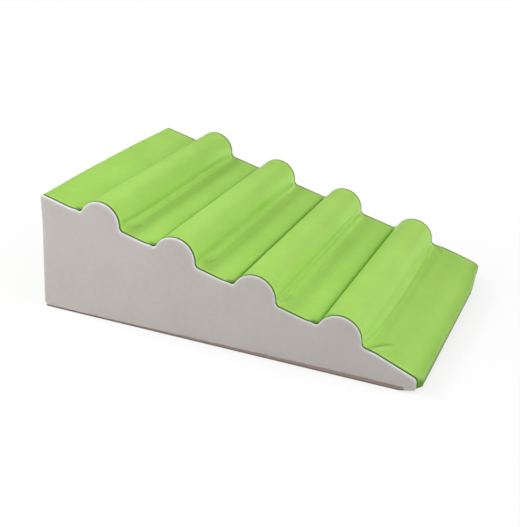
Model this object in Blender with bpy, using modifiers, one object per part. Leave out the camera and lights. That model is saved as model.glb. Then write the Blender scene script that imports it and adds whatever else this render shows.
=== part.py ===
"""Soft play ramp: a foam wedge with half-round foam rolls under a sewn and zipped cover.

Metres, +Z up. The origin is at the middle of the underside. +X runs from the high rear
face to the low toe, and the left side is at -Y. Sections are drawn in the XZ plane and
run clockwise seen from the left, so the material lies on the right of every outline.
"""

import math
from collections import namedtuple

import bmesh
import bpy
from mathutils import Vector

COLLECTION = "soft_play_ramp"
CUTTERS = "soft_play_ramp_cutters"

# Overall form, measured over the cover
LENGTH = 0.900
WIDTH = 0.600
REAR_HEIGHT = 0.288
TOE_HEIGHT = 0.034
REAR_TOP_RADIUS = 0.007
REAR_FOOT_RADIUS = 0.018
NOSE_RADIUS = 0.012
TOE_FOOT_RADIUS = 0.007

# Slope break below the last roll, and the undercut that lifts the toe off the floor
BREAK_HEIGHT = 0.072
BREAK_BELOW_ROLL = 0.080
BREAK_RADIUS = 0.060
UNDERCUT_LENGTH = 0.035
UNDERCUT_RISE = 0.008
UNDERCUT_RADIUS = 0.060

# Rolls across the slope
ROLL_COUNT = 4
ROLL_RADIUS = 0.050
ROLL_SINK = 0.003
LANDING_TO_ROLL = 0.1555
ROLL_TO_TOE = 0.1717
ROLL_DRIFT = 0.0037

# Cloth of the cover
CLOTH = 0.0010
GAP = 0.0003
RIM_RADIUS = 0.004
SEAM_INSET = 0.0065
SEAM_ROUND = 0.0020
SEAM_DEPTH = 0.0045
VALLEY_FILLET = 0.013
FOOT_FILLET = 0.012
FOOT_FILLET_MIDDLE = 0.022
CROWN = 0.003
NOTCH_DEPTH = 0.015
NOTCH_SLOPE = math.radians(62)
SLIT_DEPTH = 0.006
SHOULDER_RADIUS = 0.007
REAR_LIP = 0.014
TOE_LAP = 0.024
BASE_RIM_REAR = 0.005
BASE_RIM_TOE = 0.011

# Zip across the rear face
ZIP_HEIGHT = 0.055
ZIP_END_MARGIN = 0.060
ZIP_SLOT = 0.015
ZIP_POCKET_MARGIN = 0.004
TAPE_WIDTH = 0.014
TAPE_THICKNESS = 0.0006
CHAIN_DEPTH = 0.0030
TOOTH_PITCH = 0.0040
TOOTH_NECK = 0.0013
TOOTH_HEAD = 0.0019
TOOTH_REACH = 0.0011
SPINE_START = 0.0015
SPINE_WIDTH = 0.0018
STOP_LENGTH = 0.0040
STOP_PROUD = 0.0004
TAB_CLEARANCE = 0.0010

# Zip slider
SLIDER_LENGTH = 0.0160
SLIDER_TAIL_WIDTH = 0.0100
SLIDER_SHOULDER_WIDTH = 0.0125
SLIDER_PLATE = 0.0013
SLIDER_FLANGE = 0.0009
SLIDER_CLEARANCE = 0.0004
SLIDER_END_MARGIN = 0.0010
SLIDER_CORNER = 0.0015
BAIL_LENGTH = 0.0086
BAIL_HEIGHT = 0.0032
BAIL_WIDTH = 0.0026
BAIL_WALL = 0.0011

# Steps of the round stretches, and the angles above the slope between which a roll's are even
CREST_STEPS = 8
CREST_FIRST_ANGLE = math.radians(160)
CREST_LAST_ANGLE = math.radians(30)
FLANK_STEPS = 2
FILLET_STEPS = 3
SHOULDER_STEPS = 3
CORNER_STEPS = 3

# Places across the half width, and how much of the crown and of the wide fillet each has
ACROSS_SHARES = (0.0, 0.5, 0.9)

# Colours as seen, in sRGB
GREEN = (0.667, 0.851, 0.431)
GREY = (0.722, 0.706, 0.682)
DARK = (0.392, 0.333, 0.294)
FOAM = (0.886, 0.871, 0.812)
TAPE = (0.235, 0.235, 0.243)
TEETH = (0.165, 0.165, 0.173)
METAL = (0.525, 0.529, 0.541)

# Roughness of each material, and the angle above which an edge is shaded sharp
COATED_ROUGHNESS = 0.45
ANTISLIP_ROUGHNESS = 0.85
FOAM_ROUGHNESS = 0.95
TAPE_ROUGHNESS = 0.90
TEETH_ROUGHNESS = 0.40
METAL_ROUGHNESS = 0.35
SHARP_ANGLE = math.radians(35)

Station = namedtuple("Station", "point normal swell")
Slope = namedtuple("Slope", "start down out angle")


def clear_scene():
    for obj in list(bpy.data.objects):
        bpy.data.objects.remove(obj, do_unlink=True)


def collection(name):
    found = bpy.data.collections.get(name)
    if found is None:
        found = bpy.data.collections.new(name)
        bpy.context.scene.collection.children.link(found)
    return found


def linear(value):
    """Linear light of one sRGB channel."""
    if value <= 0.04045:
        return value / 12.92
    return ((value + 0.055) / 1.055) ** 2.4


def material(name, colour, roughness, metallic=0.0):
    made = bpy.data.materials.get(name)
    if made is None:
        made = bpy.data.materials.new(name)
        made.use_nodes = True
        shader = made.node_tree.nodes["Principled BSDF"]
        shader.inputs["Base Color"].default_value = (*[linear(c) for c in colour], 1.0)
        shader.inputs["Roughness"].default_value = roughness
        shader.inputs["Metallic"].default_value = metallic
        made.diffuse_color = shader.inputs["Base Color"].default_value
    return made


def green_cloth():
    return material("green_coated_cloth", GREEN, COATED_ROUGHNESS)


def grey_cloth():
    return material("grey_coated_cloth", GREY, COATED_ROUGHNESS)


def dark_cloth():
    return material("dark_antislip_cloth", DARK, ANTISLIP_ROUGHNESS)


def foam():
    return material("foam", FOAM, FOAM_ROUGHNESS)


def tape_weave():
    return material("zip_tape", TAPE, TAPE_ROUGHNESS)


def teeth_plastic():
    return material("zip_plastic", TEETH, TEETH_ROUGHNESS)


def slider_metal():
    return material("slider_metal", METAL, METAL_ROUGHNESS, 1.0)


def add_object(name, bm, look, smooth=True):
    """Object from a bmesh, in the part's collection."""
    mesh = bpy.data.meshes.new(name)
    bm.to_mesh(mesh)
    bm.free()
    if smooth:
        mesh.shade_smooth()
        mesh.set_sharp_from_angle(angle=SHARP_ANGLE)
    obj = bpy.data.objects.new(name, mesh)
    obj.data.materials.append(look)
    collection(COLLECTION).objects.link(obj)
    return obj


def give_thickness(obj, thickness):
    """Cloth thickness, half to each side of the sheet's middle surface."""
    solidify = obj.modifiers.new("cloth_thickness", "SOLIDIFY")
    solidify.thickness = thickness
    solidify.offset = 0.0
    solidify.use_even_offset = True
    solidify.use_quality_normals = True
    return obj


# Section geometry

def station(point, normal, swell=0.0):
    return Station(Vector(point), Vector(normal), swell)


def inset_point(at, inset):
    """Point of a station, moved into the material."""
    return at.point - at.normal * inset


def bend(centre, radius, start, end, steps, hollow=False, swell=None):
    """Stations along an arc; a hollow one has its centre outside the material."""
    side = -1.0 if hollow else 1.0
    made = []
    for step in range(steps + 1):
        share = step / steps
        angle = start + (end - start) * share
        spoke = Vector((math.cos(angle), math.sin(angle)))
        weight = swell(share) if swell else 0.0
        made.append(station(centre + spoke * radius, spoke * side, weight))
    return made


def corner(before, at, after, radius, steps, swell=None):
    """Stations of an outward corner between two straight runs."""
    into = (Vector(at) - Vector(before)).normalized()
    away = (Vector(after) - Vector(at)).normalized()
    turn = into.angle(away)
    inward = Vector((into.y, -into.x))
    centre = Vector(at) - into * radius * math.tan(turn / 2) + inward * radius
    start = math.atan2(-inward.y, -inward.x)
    return bend(centre, radius, start, start - turn, steps, swell=swell)


def roll_x(index):
    """Axis of a roll; the middle ones are glued a little uphill of even places."""
    pitch = (LENGTH - LANDING_TO_ROLL - ROLL_TO_TOE) / max(ROLL_COUNT - 1, 1)
    drift = ROLL_DRIFT * index * (index - ROLL_COUNT + 1) / 2
    return -LENGTH / 2 + LANDING_TO_ROLL + pitch * index + drift


REAR_TOP = (-LENGTH / 2, REAR_HEIGHT)
BREAK = (roll_x(ROLL_COUNT - 1) + BREAK_BELOW_ROLL, BREAK_HEIGHT)
TOE_TOP = (LENGTH / 2, TOE_HEIGHT)
TOE_FOOT = (LENGTH / 2, UNDERCUT_RISE)
UNDERCUT = (LENGTH / 2 - UNDERCUT_LENGTH, 0.0)
REAR_FOOT = (-LENGTH / 2, 0.0)
SLIT_BOTTOM = -NOTCH_DEPTH - SLIT_DEPTH


def slope():
    """Outer line of the flats, from the rear top to the break."""
    start = Vector(REAR_TOP)
    down = (Vector(BREAK) - start).normalized()
    return Slope(start, down, Vector((-down.y, down.x)), math.atan2(down.y, down.x))


def on_slope(index, along, out):
    """Point beside a roll's axis, along the slope and out of it."""
    line = slope()
    foot = line.start + line.down * ((roll_x(index) - line.start.x) / line.down.x)
    return foot + line.down * along + line.out * out


def fillet_along(fillet):
    """Distance of a fillet's centre from the roll's axis."""
    return math.sqrt((ROLL_RADIUS + fillet) ** 2 - (fillet + ROLL_SINK) ** 2)


def crest_angle(fillet):
    """Angle above the slope at which a fillet leaves the roll."""
    return math.asin((fillet + ROLL_SINK) / (ROLL_RADIUS + fillet))


def crest(index, start, end, radius=ROLL_RADIUS, swell=None):
    """Stations over a roll; between its ends they stand at the same angles on every piece."""
    turn = slope().angle
    centre = on_slope(index, 0.0, -ROLL_SINK)
    even = bend(centre, radius, CREST_FIRST_ANGLE + turn, CREST_LAST_ANGLE + turn, CREST_STEPS, swell=swell)
    ends = [bend(centre, radius, angle + turn, angle + turn, 1)[0] for angle in (start, end)]
    return [ends[0]] + even + [ends[1]]


def foot(index, fillet):
    turn = slope().angle
    centre = on_slope(index, fillet_along(fillet), fillet)
    start = math.pi + crest_angle(fillet)
    return bend(centre, fillet, start + turn, 1.5 * math.pi + turn, FILLET_STEPS, hollow=True)


def valley(index, fillet):
    turn = slope().angle
    centre = on_slope(index, -fillet_along(fillet), fillet)
    end = -crest_angle(fillet)
    return bend(centre, fillet, -math.pi / 2 + turn, end + turn, FILLET_STEPS, hollow=True)


def rear_top_corner(swell=None):
    return corner(REAR_FOOT, REAR_TOP, BREAK, REAR_TOP_RADIUS, CORNER_STEPS, swell)


def break_corner():
    return corner(REAR_TOP, BREAK, TOE_TOP, BREAK_RADIUS, 1)


def nose_corner():
    return corner(BREAK, TOE_TOP, TOE_FOOT, NOSE_RADIUS, CORNER_STEPS)


def toe_foot_corner():
    return corner(TOE_TOP, TOE_FOOT, UNDERCUT, TOE_FOOT_RADIUS, CORNER_STEPS)


def undercut_corner():
    return corner(TOE_FOOT, UNDERCUT, REAR_FOOT, UNDERCUT_RADIUS, 1)


def rear_foot_corner():
    return corner(UNDERCUT, REAR_FOOT, REAR_TOP, REAR_FOOT_RADIUS, CORNER_STEPS)


def shoulder(index):
    """Soft edge of a flat and the wall that falls from it to the slit uphill of a roll."""
    line = slope()
    wall = -ROLL_RADIUS - GAP
    edge = on_slope(index, wall - NOTCH_DEPTH / math.tan(NOTCH_SLOPE), 0.0)
    foot_of_wall = on_slope(index, wall, -NOTCH_DEPTH)
    miter = line.down + line.out * math.tan((math.pi / 2 - NOTCH_SLOPE) / 2)
    return (corner(REAR_TOP, edge, foot_of_wall, SHOULDER_RADIUS, SHOULDER_STEPS)
            + [station(foot_of_wall, miter)])


def slit(index):
    """Notch and slit in the wedge, in which the seam allowances of two strips stand side by side."""
    line = slope()
    into_uphill, into_downhill = line.out + line.down, line.out - line.down
    return shoulder(index) + [
        station(on_slope(index, -ROLL_RADIUS - GAP, SLIT_BOTTOM), into_uphill),
        station(on_slope(index, -ROLL_RADIUS, SLIT_BOTTOM), into_downhill),
        station(on_slope(index, -ROLL_RADIUS, 0.0), into_downhill)]


def lower_outline():
    """Outline from the slope break round the toe and the underside to the rear face."""
    return (break_corner() + nose_corner() + toe_foot_corner()
            + undercut_corner() + rear_foot_corner())


def wedge_outline():
    """Outline without the rolls, with a slit uphill of each."""
    made = rear_top_corner()
    for index in range(ROLL_COUNT):
        made += slit(index)
    return made + lower_outline()


def side_outline():
    """Outline of the side panels, which follows the rolls."""
    made = rear_top_corner()
    for index in range(ROLL_COUNT):
        uphill = math.pi - crest_angle(VALLEY_FILLET)
        downhill = crest_angle(FOOT_FILLET)
        made += valley(index, VALLEY_FILLET)
        made += crest(index, uphill, downhill)[1:-1]
        made += foot(index, FOOT_FILLET)
    return made + lower_outline()


# Solids lofted across the width

def section_ring(bm, points, y):
    return [bm.verts.new((p.x, y, p.y)) for p in points]


def bridge(bm, first, second):
    count = len(first)
    for k in range(count):
        after = (k + 1) % count
        bm.faces.new((first[k], first[after], second[after], second[k]))


def loft(sections, capped=True):
    """Skin over closed sections, each a list of points at one place across the width."""
    bm = bmesh.new()
    rings = [section_ring(bm, points, y) for points, y in sections]
    for first, second in zip(rings, rings[1:]):
        bridge(bm, first, second)
    bm.faces.new(rings[0])
    if capped:
        bm.faces.new(rings[-1])
    bmesh.ops.recalc_face_normals(bm, faces=bm.faces)
    return bm


def outline_at(outline, inset):
    return [inset_point(at, inset) for at in outline]


def mirrored_sections(half):
    """Sections for the whole width from those of the left half, outside first."""
    return half + [(points, -y) for points, y in reversed(half)]


# Foam

def foam_edges():
    """Side face of the foam, and the edge of the rebate that clears the seams."""
    side = WIDTH / 2 - CLOTH - GAP
    rebate = WIDTH / 2 - SEAM_INSET - GAP / 2 - SEAM_ROUND
    return side, rebate


def foam_wedge():
    side, rebate = foam_edges()
    deep = outline_at(wedge_outline(), SEAM_DEPTH + GAP)
    shallow = outline_at(wedge_outline(), CLOTH + GAP)
    bm = loft(mirrored_sections([(deep, -side), (deep, -rebate), (shallow, -rebate)]))
    obj = add_object("foam_wedge", bm, foam())
    cut_zip_pocket(obj)
    return obj


def zip_pocket_depth():
    return CLOTH + GAP + TAPE_THICKNESS / 2 + CHAIN_DEPTH / 2 + SLIDER_CLEARANCE + SLIDER_PLATE


def cut_zip_pocket(obj):
    """Hollow behind the zip, where the slider runs."""
    depth = zip_pocket_depth() + ZIP_POCKET_MARGIN
    height = ZIP_SLOT + 2 * TAPE_WIDTH
    length = zip_length() + 2 * STOP_LENGTH + 2 * ZIP_POCKET_MARGIN
    bm = bmesh.new()
    bmesh.ops.create_cube(bm, size=1.0)
    bmesh.ops.scale(bm, vec=(2 * depth, length, height), verts=bm.verts)
    mesh = bpy.data.meshes.new("zip_pocket_cutter")
    bm.to_mesh(mesh)
    bm.free()
    cutter = bpy.data.objects.new("zip_pocket_cutter", mesh)
    cutter.location = (-LENGTH / 2, 0.0, ZIP_HEIGHT)
    cutter.hide_render = True
    cutter.display_type = "WIRE"
    collection(CUTTERS).objects.link(cutter)
    cut = obj.modifiers.new("zip_pocket", "BOOLEAN")
    cut.operation = "DIFFERENCE"
    cut.object = cutter


def roll_section(index, radius):
    """Half-round roll on the wedge."""
    turn = slope().angle
    axis = on_slope(index, 0.0, -ROLL_SINK)
    base = math.asin((ROLL_SINK - CLOTH) / radius)
    uphill = bend(axis, radius, math.pi - base + turn, CREST_FIRST_ANGLE + turn, FLANK_STEPS)
    over = crest(index, math.pi, 0.0, radius)[1:-1]
    downhill = bend(axis, radius, CREST_LAST_ANGLE + turn, base + turn, FLANK_STEPS)
    return outline_at(uphill[:-1] + over + downhill[1:], 0.0)


def foam_roll(index):
    side, rebate = foam_edges()
    deep = roll_section(index, ROLL_RADIUS - SEAM_DEPTH - GAP)
    shallow = roll_section(index, ROLL_RADIUS - CLOTH - GAP)
    bm = loft(mirrored_sections([(deep, -side), (deep, -rebate), (shallow, -rebate)]))
    return add_object(f"foam_roll_{index + 1}", bm, foam())


# Cover panels that run across the width

def seam_edge():
    """Edge of a top panel, half a gap inside the seam line."""
    return WIDTH / 2 - SEAM_INSET - GAP / 2


def columns():
    """Places across the width: distance, inset of the turned-in edge, and share of the middle."""
    edge = seam_edge()
    flat_edge = edge - SEAM_ROUND
    half = [(edge - CLOTH / 2, SEAM_DEPTH - CLOTH / 2, 0.0),
            (edge - CLOTH / 2, SEAM_ROUND - CLOTH / 2, 0.0),
            (flat_edge, 0.0, 0.0)]
    for share in reversed(ACROSS_SHARES):
        half.append((flat_edge * share, 0.0, 1.0 - share ** 2))
    left = [(-y, turned, middle) for y, turned, middle in half]
    right = list(reversed(half))
    return left + right[1:]


def panel(name, section, hidden_start=0, hidden_end=0):
    """Cloth panel through one section per column.

    The first and last stations can stand in a slit, where the cloth has no turned-in edge.
    """
    bm = bmesh.new()
    grid = []
    for y, turned, middle in columns():
        line = []
        stations = section(middle)
        last = len(stations) - hidden_end
        for k, at in enumerate(stations):
            if turned and not hidden_start <= k < last:
                line.append(None)
                continue
            depth = max(turned, CLOTH / 2) - CROWN * at.swell * middle
            p = inset_point(at, depth)
            line.append(bm.verts.new((p.x, y, p.y)))
        grid.append(line)
    for first, second in zip(grid, grid[1:]):
        for k in range(len(first) - 1):
            face = (first[k], first[k + 1], second[k + 1], second[k])
            if None not in face:
                bm.faces.new(face)
    return give_thickness(add_object(name, bm, green_cloth()), CLOTH)


def into_slit(index):
    """Cloth that turns down over the shoulder into the slit; only the last station is out of sight."""
    end = station(on_slope(index, -ROLL_RADIUS - GAP, SLIT_BOTTOM), slope().down)
    return shoulder(index) + [end]


def out_of_slit(index):
    """Cloth that comes straight up out of the slit onto the roll."""
    turn = slope().angle
    start = station(on_slope(index, -ROLL_RADIUS, SLIT_BOTTOM), -slope().down)
    axis = on_slope(index, 0.0, -ROLL_SINK)
    return [start] + bend(axis, ROLL_RADIUS, math.pi + turn, CREST_FIRST_ANGLE + turn, FLANK_STEPS)[:-1]


def flat_middle(before, after):
    """Station halfway down a flat, where the crown is fullest."""
    return station((before.point + after.point) / 2, slope().out, 1.0)


def arch(share):
    """Crown along a roll's crest, none at either end."""
    return math.sin(math.pi * share)


def whole(share):
    return 1.0


def landing_section(middle):
    start = station((-LENGTH / 2, REAR_HEIGHT - REAR_LIP), (-1.0, 0.0))
    top = rear_top_corner(whole)
    turned = into_slit(0)
    return [start] + top + [flat_middle(top[-1], turned[0])] + turned


def roll_cover(index, middle):
    """Section from the slit uphill of a roll to the end of its downhill foot."""
    fillet = FOOT_FILLET + (FOOT_FILLET_MIDDLE - FOOT_FILLET) * middle
    over = crest(index, math.pi, crest_angle(fillet), swell=arch)[1:-1]
    return out_of_slit(index) + over + foot(index, fillet)


def wave_section(index):
    def section(middle):
        covered = roll_cover(index, middle)
        turned = into_slit(index + 1)
        return covered + [flat_middle(covered[-1], turned[0])] + turned
    return section


def toe_section(middle):
    """Last strip: over the roll, down the apron, round the nose and under the toe."""
    under = Vector(UNDERCUT) - Vector(TOE_FOOT)
    run = under.normalized()
    end = Vector(TOE_FOOT) + run * ((TOE_LAP - GAP / 2) / -run.x)
    last = station(end, (-run.y, run.x))
    return (roll_cover(ROLL_COUNT - 1, middle) + break_corner() + nose_corner()
            + toe_foot_corner() + [last])


def top_panels():
    panel("landing_panel", landing_section, hidden_end=1)
    for index in range(ROLL_COUNT - 1):
        panel(f"wave_panel_{index + 1}", wave_section(index), 1, 1)
    panel(f"wave_panel_{ROLL_COUNT}", toe_section, 1)


def rear_station(z):
    return station((-LENGTH / 2, z), (-1.0, 0.0))


def rear_panels():
    edge = ZIP_HEIGHT + ZIP_SLOT / 2
    top = REAR_HEIGHT - REAR_LIP - GAP
    panel("rear_panel", lambda middle: [rear_station(edge), rear_station(top)])

    def hem_section(middle):
        rise = BASE_RIM_REAR + GAP / 2 - REAR_FOOT_RADIUS
        start = math.pi - math.asin(rise / (REAR_FOOT_RADIUS - CLOTH / 2))
        centre = Vector(REAR_FOOT) + Vector((REAR_FOOT_RADIUS, REAR_FOOT_RADIUS))
        round_foot = bend(centre, REAR_FOOT_RADIUS, start, math.pi, CORNER_STEPS)
        return round_foot + [rear_station(ZIP_HEIGHT - ZIP_SLOT / 2)]
    panel("rear_hem_panel", hem_section)


# Side and base panels, cut from one rounded skin

def rim_sections():
    """Left side face and its rounded rim, on the middle surface of the cloth."""
    face = -(WIDTH / 2 - CLOTH / 2)
    round_off = RIM_RADIUS - CLOTH / 2
    halfway = round_off * (1.0 - math.sqrt(0.5))
    steps = ((0.0, round_off), (halfway, halfway), (round_off, 0.0))
    return [(outline_at(side_outline(), CLOTH / 2 + deep), face + along) for along, deep in steps]


def base_seam(offset):
    """Sloping plane between the base and the sides, moved up by an offset."""
    rear = Vector((-LENGTH / 2, 0.0, BASE_RIM_REAR + offset))
    toe = Vector((LENGTH / 2 - TOE_LAP, 0.0, BASE_RIM_TOE + offset))
    run = (toe - rear).normalized()
    return rear, Vector((-run.z, 0.0, run.x))


def cut_along(bm, point, normal, chosen):
    """Cut edges into the chosen faces where a plane crosses them."""
    faces = [face for face in bm.faces if chosen(face)]
    geometry = faces + list({e for f in faces for e in f.edges}) + list({v for f in faces for v in f.verts})
    bmesh.ops.bisect_plane(bm, geom=geometry, plane_co=point, plane_no=normal)


def remove_faces(bm, chosen):
    bmesh.ops.delete(bm, geom=[face for face in bm.faces if chosen(face)], context="FACES")


def side_panel(name, side):
    """Side panel, whose lower edge stands on the base and reaches down beside the toe."""
    edge = WIDTH / 2 - SEAM_INSET + GAP / 2 + CLOTH / 2
    sections = rim_sections()
    outline = side_outline()
    sections.append((outline_at(outline, CLOTH / 2), -(edge - CLOTH / 2 + SEAM_ROUND)))
    sections.append((outline_at(outline, SEAM_ROUND - CLOTH / 2), -edge))
    sections.append((outline_at(outline, SEAM_DEPTH - CLOTH / 2), -edge))
    bm = loft(sections, capped=False)
    point, up = base_seam(GAP / 2)
    stop = Vector((LENGTH / 2 - TOE_LAP + GAP / 2, 0.0, 0.0))

    def below(face):
        return (face.calc_center_median() - point).dot(up) < 0.0

    def turned_in_above_base(face):
        centre = face.calc_center_median()
        return -centre.y < edge + CLOTH and centre.x < stop.x and (centre - point).dot(up) < SEAM_DEPTH

    cut_along(bm, point, up, lambda face: True)
    cut_along(bm, point + up * SEAM_DEPTH, up, lambda face: -face.calc_center_median().y < edge + CLOTH)
    cut_along(bm, stop, Vector((1.0, 0.0, 0.0)), below)
    remove_faces(bm, lambda face: below(face) and face.calc_center_median().x < stop.x)
    remove_faces(bm, turned_in_above_base)
    bmesh.ops.scale(bm, vec=(1.0, -side, 1.0), verts=bm.verts)
    return give_thickness(add_object(name, bm, grey_cloth()), CLOTH)


def base_panel():
    """Anti-slip base with a low rim, from the rear foot to the toe's lap."""
    bm = loft(mirrored_sections(rim_sections()))
    point, up = base_seam(-GAP / 2)
    stop = Vector((LENGTH / 2 - TOE_LAP - GAP / 2, 0.0, 0.0))
    bmesh.ops.bisect_plane(bm, geom=bm.verts[:] + bm.edges[:] + bm.faces[:],
                           plane_co=point, plane_no=up, clear_outer=True)
    bmesh.ops.bisect_plane(bm, geom=bm.verts[:] + bm.edges[:] + bm.faces[:],
                           plane_co=stop, plane_no=(1.0, 0.0, 0.0), clear_outer=True)
    return give_thickness(add_object("base_panel", bm, dark_cloth()), CLOTH)


# Zip, drawn in the plane of the rear face

def tooth_count():
    return round((WIDTH - 2 * ZIP_END_MARGIN) / TOOTH_PITCH)


def zip_length():
    """Length of the chain, a whole number of teeth."""
    return TOOTH_PITCH * tooth_count()


def rear_x(inset):
    return -LENGTH / 2 + inset


def tape_middle():
    """Inset of the tapes' middle plane, which is the chain's too."""
    return CLOTH + GAP + TAPE_THICKNESS / 2


def plate(points, near, far):
    """Flat plate from (y, z) points, between two insets from the rear face."""
    bm = bmesh.new()
    face = bm.faces.new([bm.verts.new((rear_x(near), y, z)) for y, z in points])
    made = bmesh.ops.extrude_face_region(bm, geom=[face])
    moved = [item for item in made["geom"] if isinstance(item, bmesh.types.BMVert)]
    bmesh.ops.translate(bm, vec=(far - near, 0.0, 0.0), verts=moved)
    bmesh.ops.recalc_face_normals(bm, faces=bm.faces)
    return bm


def rectangle(y0, y1, z0, z1):
    return [(y0, z0), (y1, z0), (y1, z1), (y0, z1)]


def chain_outline(side):
    """Spine with dovetail teeth that reach past the middle between those of the other side."""
    shift = TOOTH_PITCH / 4 * side
    start = -zip_length() / 2
    back = SPINE_START + SPINE_WIDTH
    points = [(start, back * side)]
    for tooth in range(tooth_count()):
        centre = start + TOOTH_PITCH / 2 + TOOTH_PITCH * tooth + shift
        points += [(centre - TOOTH_NECK / 2, SPINE_START * side),
                   (centre - TOOTH_HEAD / 2, -TOOTH_REACH * side),
                   (centre + TOOTH_HEAD / 2, -TOOTH_REACH * side),
                   (centre + TOOTH_NECK / 2, SPINE_START * side)]
    points.append((-start, back * side))
    return [(y, ZIP_HEIGHT + z) for y, z in points]


def zip_chain(name, side):
    middle = tape_middle()
    bm = plate(chain_outline(side), middle - CHAIN_DEPTH / 2, middle + CHAIN_DEPTH / 2)
    return add_object(name, bm, teeth_plastic(), smooth=False)


def zip_tape(name, side):
    middle = tape_middle()
    inner = SPINE_START + SPINE_WIDTH + GAP
    reach = zip_length() / 2 + 2 * STOP_LENGTH
    z0, z1 = sorted((ZIP_HEIGHT + side * inner, ZIP_HEIGHT + side * (inner + TAPE_WIDTH)))
    bm = plate(rectangle(-reach, reach, z0, z1), middle - TAPE_THICKNESS / 2, middle + TAPE_THICKNESS / 2)
    return add_object(name, bm, tape_weave(), smooth=False)


def stop_block(y0, z0, z1):
    middle = tape_middle()
    depth = CHAIN_DEPTH / 2 + STOP_PROUD
    return plate(rectangle(y0, y0 + STOP_LENGTH, z0, z1), middle - depth, middle + depth)


def zip_stops():
    """One stop across both chains at the open end, and one on each chain at the closed end."""
    back = SPINE_START + SPINE_WIDTH
    end = zip_length() / 2 + GAP
    bottom = stop_block(-end - STOP_LENGTH, ZIP_HEIGHT - back, ZIP_HEIGHT + back)
    add_object("zip_bottom_stop", bottom, teeth_plastic(), smooth=False)
    for name, side in (("upper", 1.0), ("lower", -1.0)):
        z0, z1 = sorted((ZIP_HEIGHT + side * GAP, ZIP_HEIGHT + side * back))
        add_object(f"zip_top_stop_{name}", stop_block(end, z0, z1), teeth_plastic(), smooth=False)


def zip_end_tab(name, side):
    """Cloth tab that fills the slot between the zip's end and the side seam."""
    inner = zip_length() / 2 + 2 * STOP_LENGTH + TAB_CLEARANCE
    outer = seam_edge() - SEAM_ROUND
    y0, y1 = sorted((side * inner, side * outer))
    half = ZIP_SLOT / 2 - GAP
    bm = plate(rectangle(y0, y1, ZIP_HEIGHT - half, ZIP_HEIGHT + half), 0.0, CLOTH)
    return add_object(name, bm, green_cloth(), smooth=False)


# Slider

def slider_start():
    """Rest place of the slider's middle, at the closed end."""
    return zip_length() / 2 - SLIDER_LENGTH / 2 - SLIDER_END_MARGIN


def slider_planform():
    """Outline round the slider's own middle: narrow tail, wide shoulders, cut corners."""
    half = SLIDER_LENGTH / 2
    tail = SLIDER_TAIL_WIDTH / 2
    shoulder = SLIDER_SHOULDER_WIDTH / 2
    upper = [(-half, tail - SLIDER_CORNER), (-half + SLIDER_CORNER, tail), (0.0, tail),
             (half - 2 * SLIDER_CORNER, shoulder), (half, shoulder - 2 * SLIDER_CORNER)]
    return upper + [(y, -z) for y, z in reversed(upper)]


def slider_frame(bm):
    """Move a piece drawn round the origin of the zip's plane to the slider's rest place."""
    bmesh.ops.translate(bm, vec=(0.0, 0.0, ZIP_HEIGHT), verts=bm.verts)
    return bm


def slider_shell(direction):
    """Plate and two flanges on one side of the chain: -1 outside the cover, 1 behind it."""
    middle = tape_middle()
    inner = CHAIN_DEPTH / 2 + SLIDER_CLEARANCE
    flange_end = TAPE_THICKNESS / 2 + GAP
    chain = SPINE_START + SPINE_WIDTH + SLIDER_CLEARANCE
    half = SLIDER_LENGTH / 2 - SLIDER_CORNER
    near, far = middle + direction * inner, middle + direction * (inner + SLIDER_PLATE)
    pieces = [plate(slider_planform(), *sorted((near, far)))]
    for side in (-1.0, 1.0):
        z0, z1 = sorted((side * chain, side * (chain + SLIDER_FLANGE)))
        ends = sorted((middle + direction * flange_end, middle + direction * (inner + SLIDER_PLATE / 2)))
        pieces.append(plate(rectangle(-half, half, z0, z1), *ends))
    return pieces


def bail():
    """Low arch on the slider, to which a pull would clip."""
    middle = tape_middle()
    base = middle - CHAIN_DEPTH / 2 - SLIDER_CLEARANCE - SLIDER_PLATE / 2
    top = base - SLIDER_PLATE / 2 - BAIL_HEIGHT
    half = BAIL_LENGTH / 2
    arch_points = [(base, -half), (top + BAIL_WALL, -half), (top, -half + BAIL_WALL),
                   (top, half - BAIL_WALL), (top + BAIL_WALL, half), (base, half),
                   (base, half - BAIL_WALL), (top + BAIL_WALL, half - BAIL_WALL),
                   (top + BAIL_WALL, -half + BAIL_WALL), (base, -half + BAIL_WALL)]
    bm = bmesh.new()
    face = bm.faces.new([bm.verts.new((rear_x(inset), y, -BAIL_WIDTH / 2)) for inset, y in arch_points])
    made = bmesh.ops.extrude_face_region(bm, geom=[face])
    moved = [item for item in made["geom"] if isinstance(item, bmesh.types.BMVert)]
    bmesh.ops.translate(bm, vec=(0.0, 0.0, BAIL_WIDTH), verts=moved)
    bmesh.ops.recalc_face_normals(bm, faces=bm.faces)
    return bm


def united(name, pieces, look, parent):
    """One solid from overlapping pieces, riding on a parent empty."""
    first = slider_frame(pieces[0])
    obj = add_object(name, first, look, smooth=False)
    for number, piece in enumerate(pieces[1:]):
        mesh = bpy.data.meshes.new(f"{name}_add_{number}")
        slider_frame(piece).to_mesh(mesh)
        piece.free()
        tool = bpy.data.objects.new(f"{name}_add_{number}", mesh)
        tool.hide_render = True
        tool.display_type = "WIRE"
        collection(CUTTERS).objects.link(tool)
        tool.parent = parent
        join = obj.modifiers.new(f"join_{number}", "BOOLEAN")
        join.operation = "UNION"
        join.object = tool
    obj.parent = parent
    return obj


def zip_slider():
    carrier = bpy.data.objects.new("slider_carrier", None)
    carrier.location = (0.0, slider_start(), 0.0)
    collection(COLLECTION).objects.link(carrier)
    united("zip_slider", slider_shell(-1.0) + [bail()], slider_metal(), carrier)
    united("zip_slider_back", slider_shell(1.0), slider_metal(), carrier)


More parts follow.
